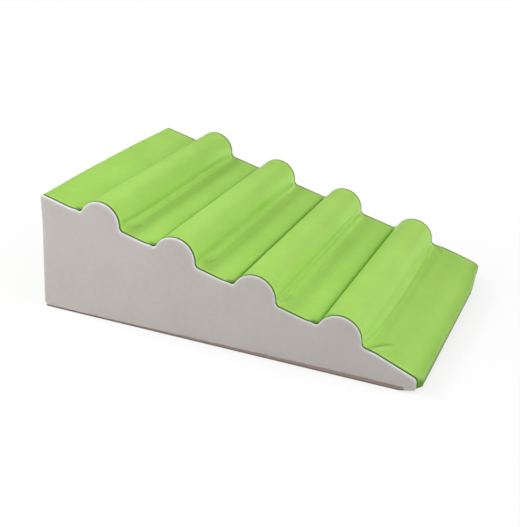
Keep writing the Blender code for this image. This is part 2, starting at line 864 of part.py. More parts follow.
def build():
    clear_scene()
    foam_wedge()
    for index in range(ROLL_COUNT):
        foam_roll(index)
    top_panels()
    rear_panels()
    side_panel("side_panel_left", -1.0)
    side_panel("side_panel_right", 1.0)
    base_panel()
    for name, side in (("upper", 1.0), ("lower", -1.0)):
        zip_tape(f"zip_tape_{name}", side)
        zip_chain(f"zip_chain_{name}", side)
    zip_stops()
    for name, side in (("left", -1.0), ("right", 1.0)):
        zip_end_tab(f"zip_end_tab_{name}", side)
    zip_slider()


build()
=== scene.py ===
import math

import bmesh
import bpy
import numpy as np
from mathutils import Matrix, Vector
from mathutils.geometry import delaunay_2d_cdt


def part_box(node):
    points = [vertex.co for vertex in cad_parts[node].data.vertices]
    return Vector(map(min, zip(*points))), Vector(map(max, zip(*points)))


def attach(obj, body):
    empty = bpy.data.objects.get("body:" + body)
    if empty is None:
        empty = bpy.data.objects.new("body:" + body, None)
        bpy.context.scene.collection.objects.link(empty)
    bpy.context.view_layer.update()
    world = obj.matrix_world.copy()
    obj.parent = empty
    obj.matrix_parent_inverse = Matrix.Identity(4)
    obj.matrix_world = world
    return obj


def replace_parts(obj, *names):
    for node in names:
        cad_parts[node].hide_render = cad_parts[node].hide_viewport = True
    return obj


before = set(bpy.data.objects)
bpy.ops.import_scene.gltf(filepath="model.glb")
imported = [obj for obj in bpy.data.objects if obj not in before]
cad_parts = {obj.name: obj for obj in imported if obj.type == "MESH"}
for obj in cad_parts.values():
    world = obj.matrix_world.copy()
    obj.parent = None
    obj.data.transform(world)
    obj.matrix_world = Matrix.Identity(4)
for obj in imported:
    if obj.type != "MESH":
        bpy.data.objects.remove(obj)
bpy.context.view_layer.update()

BODY = "ramp"

# Sizes are in metres. Along and out run from a roll's axis, down the slope and away from it.

# Form of the ramp, the same values as the solids have
LENGTH = 0.900
WIDTH = 0.600
REAR_HEIGHT = 0.288
TOE_HEIGHT = 0.034
REAR_TOP_RADIUS = 0.007
REAR_FOOT_RADIUS = 0.018
NOSE_RADIUS = 0.012
TOE_FOOT_RADIUS = 0.007
BREAK_HEIGHT = 0.072
BREAK_BELOW_ROLL = 0.080
BREAK_RADIUS = 0.060
UNDERCUT_LENGTH = 0.035
UNDERCUT_RISE = 0.008
UNDERCUT_RADIUS = 0.060
ROLL_COUNT = 4
ROLL_RADIUS = 0.050
ROLL_SINK = 0.003
LANDING_TO_ROLL = 0.1555
ROLL_TO_TOE = 0.1717
ROLL_DRIFT = 0.0037
CLOTH = 0.0010
SEAM_INSET = 0.0065
VALLEY_FILLET = 0.013
FOOT_FILLET = 0.012
NOTCH_DEPTH = 0.015
NOTCH_SLOPE = math.radians(62)
SLIT_DEPTH = 0.006
SHOULDER_RADIUS = 0.007
REAR_LIP = 0.014
TOE_LAP = 0.024
BASE_RIM_REAR = 0.005
BASE_RIM_TOE = 0.011
ZIP_HEIGHT = 0.055
ZIP_SLOT = 0.015

# Sewn edges: the strips turn in beside the side panels, whose rims roll over
HALF_GAP = 0.00025
EDGE_ROUND = 0.0040
EDGE_DEPTH = 0.0050
EDGE_BEAD = 0.0004
EDGE_BEAD_INSET = 0.0075
EDGE_BEAD_WIDTH = 0.0030
RIM_RADIUS = 0.0035
TUCK_START = 0.001
TUCK_END = 0.012

# Columns of a strip, close together beside the seams and wider apart in the middle
COLUMN_STEP = 0.0012
COLUMN_STEP_GROWTH = 1.12
COLUMN_STEP_MOST = 0.0055

# Reach from the seam in which a strip goes over from its end form to its middle form
VALLEY_BLEND = 0.0042
FOOT_BLEND_START = 0.004
FOOT_BLEND = 0.026

# Foot of a roll away from the seams, as along and out: plain, and with a fold whose points shift by a share
LAST_ANGLE = math.radians(40)
FIRST_ANGLE = math.radians(160)
FOOT_END = 0.075
FOOT_LEAD_ANGLE = 0.12
FOOT_TAIL = ((0.0710, 0.0), (FOOT_END, 0.0), (FOOT_END + 0.004, 0.0))
PLAIN_FOOT = ((0.0447, 0.0200), (0.0472, 0.0142), (0.0500, 0.0095), (0.0530, 0.0061), (0.0560, 0.0037),
              (0.0590, 0.0020), (0.0622, 0.0006), (0.0652, -0.0002), (0.0675, 0.0))
FOLDED_FOOT = ((0.0447, 0.0200, 0.0), (0.0475, 0.0124, 0.0), (0.0492, 0.0082, 0.5), (0.0512, 0.0067, 1.0),
               (0.0536, 0.0068, 1.0), (0.0560, 0.0064, 1.0), (0.0582, 0.0044, 1.0), (0.0602, 0.0019, 1.0),
               (0.0622, 0.0004, 1.0), (0.0650, 0.0, 1.0))
FOLD_SHIFTS = (-0.0020, 0.0, 0.0030, 0.0)
FOLD_SHARES = (0.6, 1.0, 1.0, 0.12)

# Tension folds from a foot's corners: start and end as along and from the seam, width, height
CORNER_FOLDS = (((0.0515, 0.004), (0.0600, 0.080), 0.0040, 0.0020),
                ((0.0560, 0.006), (0.0660, 0.044), 0.0040, 0.0010),
                ((0.0660, 0.010), (0.0860, 0.034), 0.0036, 0.0007))
LAST_CORNER_FOLDS = (((0.0500, 0.005), (0.0605, 0.095), 0.0034, 0.0018),
                     ((0.0690, 0.003), (0.1040, 0.060), 0.0034, 0.0036))
CORNER_FOLD_NUDGE = 0.008
CORNER_FOLD_SPREAD = (0.85, 1.15)

# The same for the painted shade beside a near fold, with a share for the height
FOLD_SHADE = ((0.0530, 0.001), (0.0710, 0.070), 0.0055, 0.20)
LAST_FOLD_SHADE = ((0.0620, 0.001), (0.1050, 0.067), 0.0040, 0.36)

# Crowns and puffs of the cover over the foam, and its slow unevenness
CROWN = 0.0030
CREST_CROWN_SHARE = 0.5
FLAT_CROWN_SHARE = 0.55
CROWN_REACH = 0.16
LANDING_CROWN_REACH = 0.20
LANDING_CROWN_RISE = 0.12
LANDING_CROWN_FALL = 0.7
REAR_PUFF = 0.0030
REAR_PUFF_REACH = 0.12
SIDE_PUFF = 0.0022
SIDE_PUFF_REACH = 0.030
SIDE_RIPPLE = 0.0007
SIDE_RIPPLE_REACH = 0.020
RIPPLE = 0.0006
RIPPLE_START = 0.004
RIPPLE_FADE = 0.03
RIPPLE_WAVES = 7
RIPPLE_LENGTHS = (0.07, 0.20)

# Seeds of the random draws
WAVE_SEED = 7
LANDING_SEED = 3
SIDE_SEED = 21
FOLD_SEED = 40

# Stations at a strip's ends that the shoulder takes up, and over which its unevenness fades
SHOULDER_STATIONS = 12
FADE_STATIONS = 6
CREST_LEAD_STATIONS = 4
LAST_FLAT_STATIONS = 40
LANDING_CORNER_STATIONS = 16

# The soft toe stands higher and a little further forward at the far side
TOE_TILT = 0.011
TOE_TILT_START = 0.300
TOE_TILT_END = 0.440
TOE_TILT_DEPTH = 0.030
TOE_REACH_FAR = 0.005

# The cloth across the toe puffs forward between the side seams
TOE_PUFF = 0.0105
TOE_PUFF_NEAR = 0.014
TOE_PUFF_FAR = 0.120
TOE_PUFF_START = 0.365
TOE_PUFF_DEPTH = 0.014

# The near rear corner stands out a little towards its foot
FOOT_FLARE = 0.0130
FOOT_FLARE_HEIGHT = 0.220
FOOT_FLARE_REACH = 0.090
FOOT_FLARE_START = 0.250
FOOT_FLARE_WIDTH = 0.040

# The near seam lifts the ends of the valleys
VALLEY_LIFT = 0.0024
VALLEY_LIFT_ALONG = -0.063
VALLEY_LIFT_WIDTH = 0.010
VALLEY_LIFT_START = 0.276
VALLEY_LIFT_REACH = 0.014
VALLEY_LIFT_DEPTH = 0.030
VALLEY_LIFT_FADE = 0.015

# Seam valley uphill of each roll: how deep the cloth sinks, and how strong the painted shade in it is
VALLEY_DEPTH_SHARES = (0.9, 1.0, 1.0, 0.62)
VALLEY_SHADE_SHARES = (0.0, 1.0, 1.0, 0.0)
VALLEY_SHADE_START = 0.002
VALLEY_SHADE_FADE = 0.006
VALLEY_FLANK_RISES = (0.0, 0.0058, 0.0062, 0.0)
VALLEY_FLAT_RISES = (0.0, 0.0017, 0.0, 0.0)

# Painted shade on each strip: in the pocket of its fold, a painted shadow of the roll over the flat below,
# and painted shade on the roll's uphill flank
STRIP_SHADE_START = 0.003
STRIP_SHADE_FADE = 0.020
POCKET_ALONG = (0.0500, 0.0510, 0.0535, 0.0655)
POCKET_WIDTH = 0.0018
POCKET_PULLS = (0.003875, 0.003875, 0.003875, 0.0155)
POCKET_PULL_REACH = 0.085
POCKET_SHADE_SHARES = (0.15, 0.10, 0.08, 0.15)
FLAT_SHADOW_ALONG = 0.073
FLAT_SHADOW_WIDTH = 0.014
FLAT_SHADOW_SHARES = (0.10, 0.05, 0.0, 0.0)
FLANK_ALONG = (-0.041, -0.040, -0.044, -0.044)
FLANK_SHADE_SHARES = (0.09, 0.17, 0.19, 0.06)
FLANK_SHADE_WIDTH = 0.0055

# Painted shade at the near side: over the rolls' ends, and in the corner of each valley
END_SHADE_SHARE = 0.10
END_SHADE_REACH = 0.090
END_SHADE_ALONG = 0.015
END_SHADE_FADE = 0.030
CORNER_SHADE_SHARE = 0.75
CORNER_SHADE_INSET = 0.002
CORNER_SHADE_WIDTH = 0.0070
CORNER_SHADE_SPREAD = 0.0060
CORNER_SPREAD_ALONG = -0.030
CORNER_SPREAD_FADE = 0.030
CORNER_SHADE_TOP = -0.078
CORNER_SHADE_TOP_FADE = 0.016
CORNER_SHADE_END = -0.010
CORNER_SHADE_END_FADE = 0.045

# The landing darker towards its rear edge and its near side, and painted shade on the last strip: on the
# slope below the break, and round the toe
LANDING_DARK_SHARE = 0.20
LANDING_DARK_REACH = 0.050
APRON_SHADE_SHARE = 0.11
APRON_SHADE_REACH = 0.035
TOE_EDGE_SHADE_SHARE = 0.19
TOE_EDGE_WIDTH = 0.030
TOE_SHADE_SHARE = 0.45

# Painted shade in the seam grooves beside the strips' edges and on the side panels' rims, and painted
# highlights on the edges and the rims
EDGE_SHADE_WIDTH = 0.0016
EDGE_SHADE_FADE = 0.0030
EDGE_LIGHT_SHARE = 0.35
EDGE_LIGHT_INSET = 0.0064
EDGE_LIGHT_WIDTH = 0.0022
FAR_EDGE_SHADE_SHARE = 0.5
RIM_FADE_SHARE = 0.40
RIM_FADE_LENGTH = 0.25
RIM_FADE_END = 0.03
RIM_LIGHT_HEIGHT = 0.020
RIM_LIGHT_WIDTH = 0.0018
RIM_LIGHT_FALL = 0.8
FACE_LIGHT_SHARE = 0.2
FAR_RIM_SHADE_SHARE = 0.90
FAR_RIM_LIGHT_SHARE = 0.2

# Seam between a side panel and the base, and the mesh of a side panel
BAND_RISE_SHARE = 1.15
BAND_WOBBLE = 0.0007
BAND_WAVES = ((0.085, 0.6), (0.047, 0.0))
LAP_RADIUS = 0.0015
BAND_CORNER_TOE = 0.003
BAND_CORNER_REAR = 0.004
BAND_LOW = 0.0015
BAND_AHEAD = 0.0025
BAND_TURN_SHARE = 0.30
LOOP_STEP = 0.006
FACE_STEP = 0.0065
FACE_CLEARANCE_SHARE = 0.55

# Base: its rounded edge, and its lip as inset from the side and drop below the seam
BASE_ROUND = 0.0035
BASE_LIP = ((0.0045, 0.0), (0.0012, 0.0), (0.0003, 0.0006), (0.0, 0.0016))
BASE_LIP_REAR = 0.0005

# Stitching along the zip
STITCH_LENGTH = 0.0032
STITCH_PITCH = 0.0044
STITCH_RADIUS = 0.00035
STITCH_INSET = 0.0030

# Coated cloth, as sRGB values out of 255: plain, deep and light tone, painted shade, painted highlight
GREEN_TONES = ((166, 213, 96), (159, 207, 89), (178, 220, 113))
GREEN_SHADE = (60, 104, 34)
GREEN_HIGHLIGHT = (184, 232, 104)
GREY_TONES = ((191, 185, 180), (186, 180, 174), (199, 195, 192))
GREY_SHADE = (126, 132, 92)
GREY_SHADE_FAR = (142, 160, 86)
GREY_HIGHLIGHT = (221, 218, 229)

# Camera, from the photo's outlines: pixels of the photo, angles, and the way to the aimed point
IMAGE_WIDTH = 520
IMAGE_HEIGHT = 527
FOCAL_PIXELS = 927.88
PRINCIPAL = (257.83, 262.36)
SENSOR = 36.0
CAMERA_AZIMUTH = 0.403605
CAMERA_ELEVATION = 0.434018
CAMERA_ROLL = -0.021278
CAMERA_OFFSET = (0.033900, -0.060312)
CAMERA_DISTANCE = 2.254767
AIM = (0.0, 0.0, 0.15)

# Floor: half its size, and between which distances it goes over from a share of white to plain white
FLOOR_HALF = 40.0
FLOOR_NEAR = 0.45
FLOOR_FAR = 0.95
FLOOR_WHITE_SHARE = 0.72

# Lamps: suns by direction, strength and angle, panels by place, size and power, a low strip, and the dome
SUNS = {"toe_light": ((0.80, -0.10, 0.75), 0.37, 90), "far_light": ((0.0, 0.9, 0.5), 0.11, 60)}
PANELS = {"rear_panel_light": ((-2.4, -0.4, 2.3), 0.9, 52.0),
          "rear_near_panel_light": ((-2.0, -1.4, 2.0), 0.7, 8.5),
          "front_panel_light": ((0.0, -0.9, 1.7), 1.0, 10.5),
          "toe_panel_light": ((2.4, 0.5, 1.8), 1.8, 35.0),
          "toe_near_panel_light": ((2.6, -0.7, 1.5), 1.8, 18.0),
          "side_panel_light": ((-1.0, -1.6, 0.5), 0.9, 6.2)}
FAR_STRIP_PLACE = (0.0, 0.95, 0.06)
FAR_STRIP_AIM = (0.0, 0.30, 0.06)
FAR_STRIP_SIZE = (1.1, 0.10)
FAR_STRIP_POWER = 3.6
DOME_GLOW = 0.05


# Plane geometry, all in the section plane: x along the length, z up

def polar(angle):
    return np.array([math.cos(angle), math.sin(angle)])


def arc(centre, radius, start, end, count):
    angles = np.linspace(start, end, count)
    return np.asarray(centre) + radius * np.stack([np.cos(angles), np.sin(angles)], axis=1)


def line(start, end, count):
    return np.linspace(np.asarray(start, float), np.asarray(end, float), count)


def rounded(before, at, after, radius, count):
    """Arc that rounds an outward corner."""
    into = (at - before) / np.linalg.norm(at - before)
    away = (after - at) / np.linalg.norm(after - at)
    turn = math.acos(float(np.clip(into @ away, -1.0, 1.0)))
    inward = np.array([into[1], -into[0]])
    centre = at - into * radius * math.tan(turn / 2) + inward * radius
    start = math.atan2(-inward[1], -inward[0])
    return arc(centre, radius, start, start - turn, count)


def resample(points, count):
    """Evenly spaced points along a polyline."""
    gaps = np.linalg.norm(np.diff(points, axis=0), axis=1)
    along = np.concatenate([[0.0], np.cumsum(gaps)])
    places = np.linspace(0.0, along[-1], count)
    return np.stack([np.interp(places, along, points[:, axis]) for axis in range(2)], axis=1)


def smooth_curve(points, count):
    """Evenly spaced points on a Catmull-Rom curve through the given ones."""
    points = np.asarray(points, float)
    padded = np.vstack([2 * points[0] - points[1], points, 2 * points[-1] - points[-2]])
    pieces = []
    for k in range(len(points) - 1):
        p0, p1, p2, p3 = padded[k:k + 4]
        t = np.linspace(0.0, 1.0, 12, endpoint=False)[:, None]
        pieces.append(0.5 * ((2 * p1) + (p2 - p0) * t + (2 * p0 - 5 * p1 + 4 * p2 - p3) * t ** 2
                             + (3 * p1 - p0 - 3 * p2 + p3) * t ** 3))
    return resample(np.vstack(pieces + [points[-1:]]), count)


def normals_of(run):
    """Outward normals, from the steps of a section that runs clockwise."""
    run = run / np.maximum(np.linalg.norm(run, axis=1, keepdims=True), 1e-9)
    return np.stack([-run[:, 1], run[:, 0]], axis=1)


def rise(value, start, reach):
    """Smooth rise from 0 at the start to 1 at the end of the reach."""
    value = np.clip((value - start) / reach, 0.0, 1.0)
    return value * value * (3.0 - 2.0 * value)


def bell(value, centre, width):
    return np.exp(-((value - centre) / width) ** 2)


# Places that the pieces share

def roll_x(index):
    pitch = (LENGTH - LANDING_TO_ROLL - ROLL_TO_TOE) / (ROLL_COUNT - 1)
    drift = ROLL_DRIFT * index * (index - ROLL_COUNT + 1) / 2
    return -LENGTH / 2 + LANDING_TO_ROLL + pitch * index + drift


LAST = ROLL_COUNT - 1
REAR_TOP = np.array([-LENGTH / 2, REAR_HEIGHT])
REAR_FOOT = np.array([-LENGTH / 2, 0.0])
REAR_FOOT_CENTRE = REAR_FOOT + REAR_FOOT_RADIUS
BREAK = np.array([roll_x(LAST) + BREAK_BELOW_ROLL, BREAK_HEIGHT])
TOE_TOP = np.array([LENGTH / 2, TOE_HEIGHT])
TOE_FOOT = np.array([LENGTH / 2, UNDERCUT_RISE])
UNDERCUT = np.array([LENGTH / 2 - UNDERCUT_LENGTH, 0.0])
UNDER = (UNDERCUT - TOE_FOOT) / np.linalg.norm(UNDERCUT - TOE_FOOT)
DOWN = (BREAK - REAR_TOP) / np.linalg.norm(BREAK - REAR_TOP)
OUT = np.array([-DOWN[1], DOWN[0]])
ROLL_CENTRE = np.array([0.0, -ROLL_SINK])
SLIT_BOTTOM = NOTCH_DEPTH + SLIT_DEPTH


def roll_origin(index):
    return REAR_TOP + DOWN * ((roll_x(index) - REAR_TOP[0]) / DOWN[0])


def placed(origin, local):
    """Section points given along the slope and out of it, from an origin."""
    local = np.asarray(local, float)
    return origin + local[..., :1] * DOWN + local[..., 1:] * OUT


def rear_foot_angle(height):
    """Where the round foot of the rear reaches a height."""
    return math.pi - math.asin((height - REAR_FOOT_RADIUS) / REAR_FOOT_RADIUS)


def under_toe(reach):
    """Place on the toe's underside, at a distance behind its foot."""
    return TOE_FOOT + UNDER * (reach / -UNDER[0])


def fillet_along(fillet):
    return math.sqrt((ROLL_RADIUS + fillet) ** 2 - (fillet + ROLL_SINK) ** 2)


def fillet_angle(fillet):
    return math.asin((fillet + ROLL_SINK) / (ROLL_RADIUS + fillet))


# Section of one roll and its flat, as along and out

def start_middle(index):
    """Uphill side of a roll away from the seams: the cloth comes straight up out of the slit."""
    bottom = -SLIT_BOTTOM * VALLEY_DEPTH_SHARES[index]
    return np.vstack([
        line((-ROLL_RADIUS, bottom), (-ROLL_RADIUS, -ROLL_SINK), 11)[:-1],
        arc(ROLL_CENTRE, ROLL_RADIUS, math.pi, FIRST_ANGLE, 7)])


def valley_end(reach):
    """Round valley at the side seam: centre, middle and last angle, and the point in its middle."""
    centre = np.array([reach - fillet_along(VALLEY_FILLET), VALLEY_FILLET])
    last = -fillet_angle(VALLEY_FILLET)
    middle = (-math.pi / 2 + last) / 2
    return centre, middle, last, centre + VALLEY_FILLET * polar(middle)


def start_end():
    """Uphill side of a roll at the side seam, where the cloth follows the side panel's round valley."""
    centre, middle, last, lowest = valley_end(0.0)
    return np.vstack([
        line(lowest - (0.0, TUCK_END), lowest - (0.0, TUCK_START), 5),
        arc(centre, VALLEY_FILLET, middle, last, 7),
        arc(ROLL_CENTRE, ROLL_RADIUS, math.pi + last, FIRST_ANGLE, 6)[1:]])


def crest():
    return arc(ROLL_CENTRE, ROLL_RADIUS, FIRST_ANGLE, LAST_ANGLE, 44)[1:-1]


def foot_middle(index):
    """Downhill foot away from the seams: the cloth bridges the corner with one soft fold."""
    last = ROLL_CENTRE + ROLL_RADIUS * polar(LAST_ANGLE)
    before = ROLL_CENTRE + ROLL_RADIUS * polar(LAST_ANGLE + FOOT_LEAD_ANGLE)
    folded = [(along + FOLD_SHIFTS[index] * share, out) for along, out, share in FOLDED_FOOT]
    made = []
    for shape in (folded, PLAIN_FOOT):
        curve = smooth_curve([before, last, *shape, *FOOT_TAIL], 400)
        first = int(np.argmin(np.linalg.norm(curve - last, axis=1)))
        stop = int(np.argmin(np.abs(curve[:, 0] - FOOT_END)))
        made.append(resample(curve[first:stop + 1], 40))
    return made[0] * FOLD_SHARES[index] + made[1] * (1.0 - FOLD_SHARES[index])


def foot_end():
    """Downhill foot at the side seam, where the cloth is pulled into the corner."""
    angle = fillet_angle(FOOT_FILLET)
    centre = np.array([fillet_along(FOOT_FILLET), FOOT_FILLET])
    whole = np.vstack([
        arc(ROLL_CENTRE, ROLL_RADIUS, LAST_ANGLE, angle, 20),
        arc(centre, FOOT_FILLET, math.pi + angle, 1.5 * math.pi, 20)[1:],
        line(centre - (0.0, FOOT_FILLET), (FOOT_END, 0.0), 10)[1:]])
    return resample(whole, 40)


def flat_middle(reach, deep):
    """Flat down to the next roll, where it turns over a soft shoulder and falls into the slit."""
    wall = reach - ROLL_RADIUS - 2 * HALF_GAP
    edge = np.array([wall - NOTCH_DEPTH * deep / math.tan(NOTCH_SLOPE), 0.0])
    foot = np.array([wall, -NOTCH_DEPTH * deep])
    turned = rounded(np.array([0.0, 0.0]), edge, foot, SHOULDER_RADIUS, 7)
    return np.vstack([line((FOOT_END, 0.0), turned[0], 20)[1:], turned[1:], line(turned[-1], foot, 5)[1:-1],
                      line(foot, (wall, -SLIT_BOTTOM * deep), 3)])


def flat_end(reach):
    """The same at the side seam, with the side panel's round valley."""
    centre, middle, _, lowest = valley_end(reach)
    return np.vstack([
        line((FOOT_END, 0.0), centre - (0.0, VALLEY_FILLET), 20)[1:],
        arc(centre, VALLEY_FILLET, -math.pi / 2, middle, 8)[1:],
        line(lowest - (0.0, TUCK_START), lowest - (0.0, TUCK_END), 5)])


def toe_path():
    """From the last foot over the break, round the toe and under it, in section coordinates."""
    start = placed(roll_origin(LAST), (FOOT_END, 0.0))
    bend = rounded(REAR_TOP, BREAK, TOE_TOP, BREAK_RADIUS, 9)
    nose = rounded(BREAK, TOE_TOP, TOE_FOOT, NOSE_RADIUS, 12)
    foot = rounded(TOE_TOP, TOE_FOOT, UNDERCUT, TOE_FOOT_RADIUS, 10)
    return np.vstack([line(start, bend[0], 4)[1:-1], bend, line(bend[-1], nose[0], 20)[1:-1], nose,
                      line(nose[-1], foot[0], 6)[1:-1], foot, line(foot[-1], under_toe(TOE_LAP), 5)[1:]])


def across():
    """Columns of a strip: place across, depth of the turned-in edge, and distance from the seam."""
    edge = WIDTH / 2 - SEAM_INSET - HALF_GAP
    rows = [(edge, EDGE_DEPTH), (edge, (EDGE_DEPTH + EDGE_ROUND) / 2)]
    for angle in np.linspace(0.0, math.pi / 2, 5):
        rows.append((edge - EDGE_ROUND * (1.0 - math.cos(angle)), EDGE_ROUND * (1.0 - math.sin(angle))))
    place, step = edge - EDGE_ROUND, COLUMN_STEP
    while place - step > step / 2:
        place -= step
        rows.append((place, 0.0))
        step = min(step * COLUMN_STEP_GROWTH, COLUMN_STEP_MOST)
    left = [(-y, depth, edge - y) for y, depth in rows]
    right = [(y, depth, edge - y) for y, depth in reversed(rows)]
    return np.array(left + [(0.0, 0.0, edge)] + right).T


def blend(middle, end, share):
    """Section for every column, between the middle form and the one at the seam."""
    share = share[:, None, None]
    return middle[None] * share + end[None] * (1.0 - share)


def widened(row, columns):
    """The same row for every column."""
    return np.repeat(row[None], columns, 0)


# Objects

def mesh_object(name, points, faces, look):
    mesh = bpy.data.meshes.new(name)
    mesh.from_pydata([tuple(p) for p in points], [], faces)
    mesh.validate()
    mesh.shade_smooth()
    obj = bpy.data.objects.new(name, mesh)
    bpy.context.scene.collection.objects.link(obj)
    mesh.materials.append(look)
    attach(obj, BODY)
    return obj


def grid_object(name, points, look):
    """Mesh from a grid of points, columns by stations by three."""
    columns, stations = points.shape[:2]
    index = np.arange(columns * stations).reshape(columns, stations)
    faces = np.stack([index[:-1, :-1], index[:-1, 1:], index[1:, 1:], index[1:, :-1]], axis=-1)
    return mesh_object(name, points.reshape(-1, 3), faces.reshape(-1, 4).tolist(), look)


def tube_faces(rings, sides):
    """Faces between closed rings of points."""
    corner = np.arange(rings * sides).reshape(rings, sides)
    after = np.roll(corner, -1, axis=1)
    return np.stack([corner[:-1], after[:-1], after[1:], corner[1:]], axis=-1).reshape(-1, 4)


def weld(obj, outward):
    """Joins points that meet and turns the faces so that the one furthest outward faces that way."""
    bm = bmesh.new()
    bm.from_mesh(obj.data)
    bmesh.ops.remove_doubles(bm, verts=bm.verts, dist=1e-5)
    bmesh.ops.recalc_face_normals(bm, faces=bm.faces)
    bm.normal_update()
    furthest = max(bm.faces, key=lambda face: face.calc_center_median().dot(outward))
    if furthest.normal.dot(outward) < 0.0:
        bmesh.ops.reverse_faces(bm, faces=bm.faces)
    bm.to_mesh(obj.data)
    bm.free()
    obj.data.shade_smooth()


def mark(obj, name, values):
    """Point values that a material can read."""
    made = obj.data.attributes.new(name, "FLOAT", "POINT")
    made.data.foreach_set("value", np.asarray(values, float).ravel())


def give_thickness(obj):
    solidify = obj.modifiers.new("cloth_thickness", "SOLIDIFY")
    solidify.thickness = CLOTH
    solidify.offset = -1.0
    solidify.use_quality_normals = True


# How the cover lies off the solids

def toe_puff(points):
    """How far forward the cloth of the toe stands between the two side seams."""
    near = rise(points[..., 1] + WIDTH / 2 - SEAM_INSET, 0.0, TOE_PUFF_NEAR)
    far = rise(WIDTH / 2 - SEAM_INSET - points[..., 1], 0.0, TOE_PUFF_FAR)
    along = rise(points[..., 0], TOE_PUFF_START, LENGTH / 2 - TOE_PUFF_START)
    return TOE_PUFF * near * far * along * rise(points[..., 2], 0.0, TOE_PUFF_DEPTH)


def foot_flare(points):
    """How far back the near rear corner of the cover stands out."""
    height = np.maximum(points[..., 2], REAR_FOOT_RADIUS)
    low = np.clip(1.0 - height / FOOT_FLARE_HEIGHT, 0.0, 1.0)
    rear = rise(FOOT_FLARE_REACH - LENGTH / 2 - points[..., 0], 0.0, FOOT_FLARE_REACH)
    return FOOT_FLARE * low * rear * rise(-points[..., 1], FOOT_FLARE_START, FOOT_FLARE_WIDTH)


def valley_lift(points):
    """How far the near seam lifts the cloth beside it, in x and z, uphill of the rolls."""
    near = rise(-points[..., 1], VALLEY_LIFT_START, VALLEY_LIFT_REACH)
    moved = np.zeros((*points.shape[:-1], 2))
    for index in range(ROLL_COUNT):
        local = points[..., [0, 2]] - roll_origin(index)
        surface = near * rise(local @ OUT, -VALLEY_LIFT_DEPTH, VALLEY_LIFT_FADE)
        uphill = bell(local @ DOWN, VALLEY_LIFT_ALONG, VALLEY_LIFT_WIDTH)
        moved += (VALLEY_LIFT * surface * uphill)[..., None] * OUT
    return moved


def settle(points):
    """Moves the cover's points to how the cloth lies at the toe, the rear foot and the valleys' ends."""
    across_share = np.clip(points[..., 1] / WIDTH + 0.5, 0.0, 1.0)
    along = rise(points[..., 0], TOE_TILT_START, TOE_TILT_END - TOE_TILT_START)
    above = rise(points[..., 2], 0.0, TOE_TILT_DEPTH)
    moved = points.copy()
    moved[..., [0, 2]] += valley_lift(points)
    moved[..., 0] += TOE_REACH_FAR * across_share * along * above + toe_puff(points) - foot_flare(points)
    moved[..., 2] += TOE_TILT * across_share * along * above
    return moved


def ripple(x, y, seed):
    """Slow unevenness between -1 and 1 from a few fixed waves."""
    maker = np.random.default_rng(seed)
    total = np.zeros_like(x)
    for _ in range(RIPPLE_WAVES):
        angle = maker.uniform(0.0, math.pi)
        length = maker.uniform(*RIPPLE_LENGTHS)
        phase = maker.uniform(0.0, 2 * math.pi)
        total += np.sin((x * math.cos(angle) + y * math.sin(angle)) * 2 * math.pi / length + phase)
    return total / RIPPLE_WAVES


def unevenness(sections, y, from_seam, seed, start):
    """Slow ripples, and the lift of the seam allowance below the edges, away from a strip's two ends."""
    station = np.arange(sections.shape[1])
    end = sections.shape[1] - SHOULDER_STATIONS - station
    shown = rise(station, start, FADE_STATIONS) * rise(end, 0.0, FADE_STATIONS)
    quiet = rise(from_seam, RIPPLE_START, RIPPLE_FADE)
    bead = EDGE_BEAD * bell(from_seam, EDGE_BEAD_INSET, EDGE_BEAD_WIDTH)
    return (RIPPLE * ripple(sections[..., 0], y, seed) * quiet + bead) * shown


def ridge(along, from_seam, start, end, width, height):
    """Narrow fold between two places, given as distances along and from the seam."""
    start, end = np.array(start), np.array(end)
    run = end - start
    share = ((along - start[0]) * run[0] + (from_seam - start[1]) * run[1]) / (run @ run)
    off = (along - start[0]) * run[1] - (from_seam - start[1]) * run[0]
    off /= np.linalg.norm(run)
    body = bell(off, 0.0, width) * np.sin(math.pi * np.clip(share, 0.0, 1.0)) ** 0.7
    return height * body * ((share > 0.0) & (share < 1.0))


def corner_folds(along, from_seam, near, index):
    """Tension folds that run out of the foot's corner at the side seams."""
    maker = np.random.default_rng(FOLD_SEED + index * 2 + int(near))
    total = np.zeros_like(along)
    for start, end, width, height in LAST_CORNER_FOLDS if index == LAST else CORNER_FOLDS:
        nudge = maker.uniform(*CORNER_FOLD_SPREAD, 4)
        end = (end[0] + CORNER_FOLD_NUDGE * (nudge[0] - 1.0), end[1] * nudge[1])
        total += ridge(along, from_seam, start, end, width, height * nudge[2])
    return total


# Painted shade, as shares that a material reads

def corner_shade(along, from_seam):
    """Painted shade in the near corner of the valley uphill of a roll."""
    uphill = rise(along, CORNER_SHADE_TOP, CORNER_SHADE_TOP_FADE)
    uphill = uphill * rise(-along, -CORNER_SHADE_END, CORNER_SHADE_END_FADE)
    spread = rise(-along, -CORNER_SPREAD_ALONG, CORNER_SPREAD_FADE)
    width = CORNER_SHADE_WIDTH + CORNER_SHADE_SPREAD * spread
    return CORNER_SHADE_SHARE * uphill * bell(np.maximum(from_seam - CORNER_SHADE_INSET, 0.0), 0.0, width)


def crease_shade(along, from_seam, near, index):
    """Painted shade in the fold's pocket, painted shadow over the flat below, painted shade on the uphill
    flank and at the near end.
    """
    pocket = POCKET_ALONG[index] - POCKET_PULLS[index] * np.exp(-from_seam / POCKET_PULL_REACH)
    total = POCKET_SHADE_SHARES[index] * bell(along, pocket, POCKET_WIDTH)
    total += FLAT_SHADOW_SHARES[index] * bell(along, FLAT_SHADOW_ALONG, FLAT_SHADOW_WIDTH)
    total += FLANK_SHADE_SHARES[index] * bell(along, FLANK_ALONG[index], FLANK_SHADE_WIDTH)
    total *= rise(from_seam, STRIP_SHADE_START, STRIP_SHADE_FADE)
    if near:
        uphill = rise(-along, -END_SHADE_ALONG, END_SHADE_FADE)
        total += END_SHADE_SHARE * np.exp(-from_seam / END_SHADE_REACH) * uphill
        total += corner_shade(along, from_seam)
        total += ridge(along, from_seam, *(LAST_FOLD_SHADE if index == LAST else FOLD_SHADE))
    return total


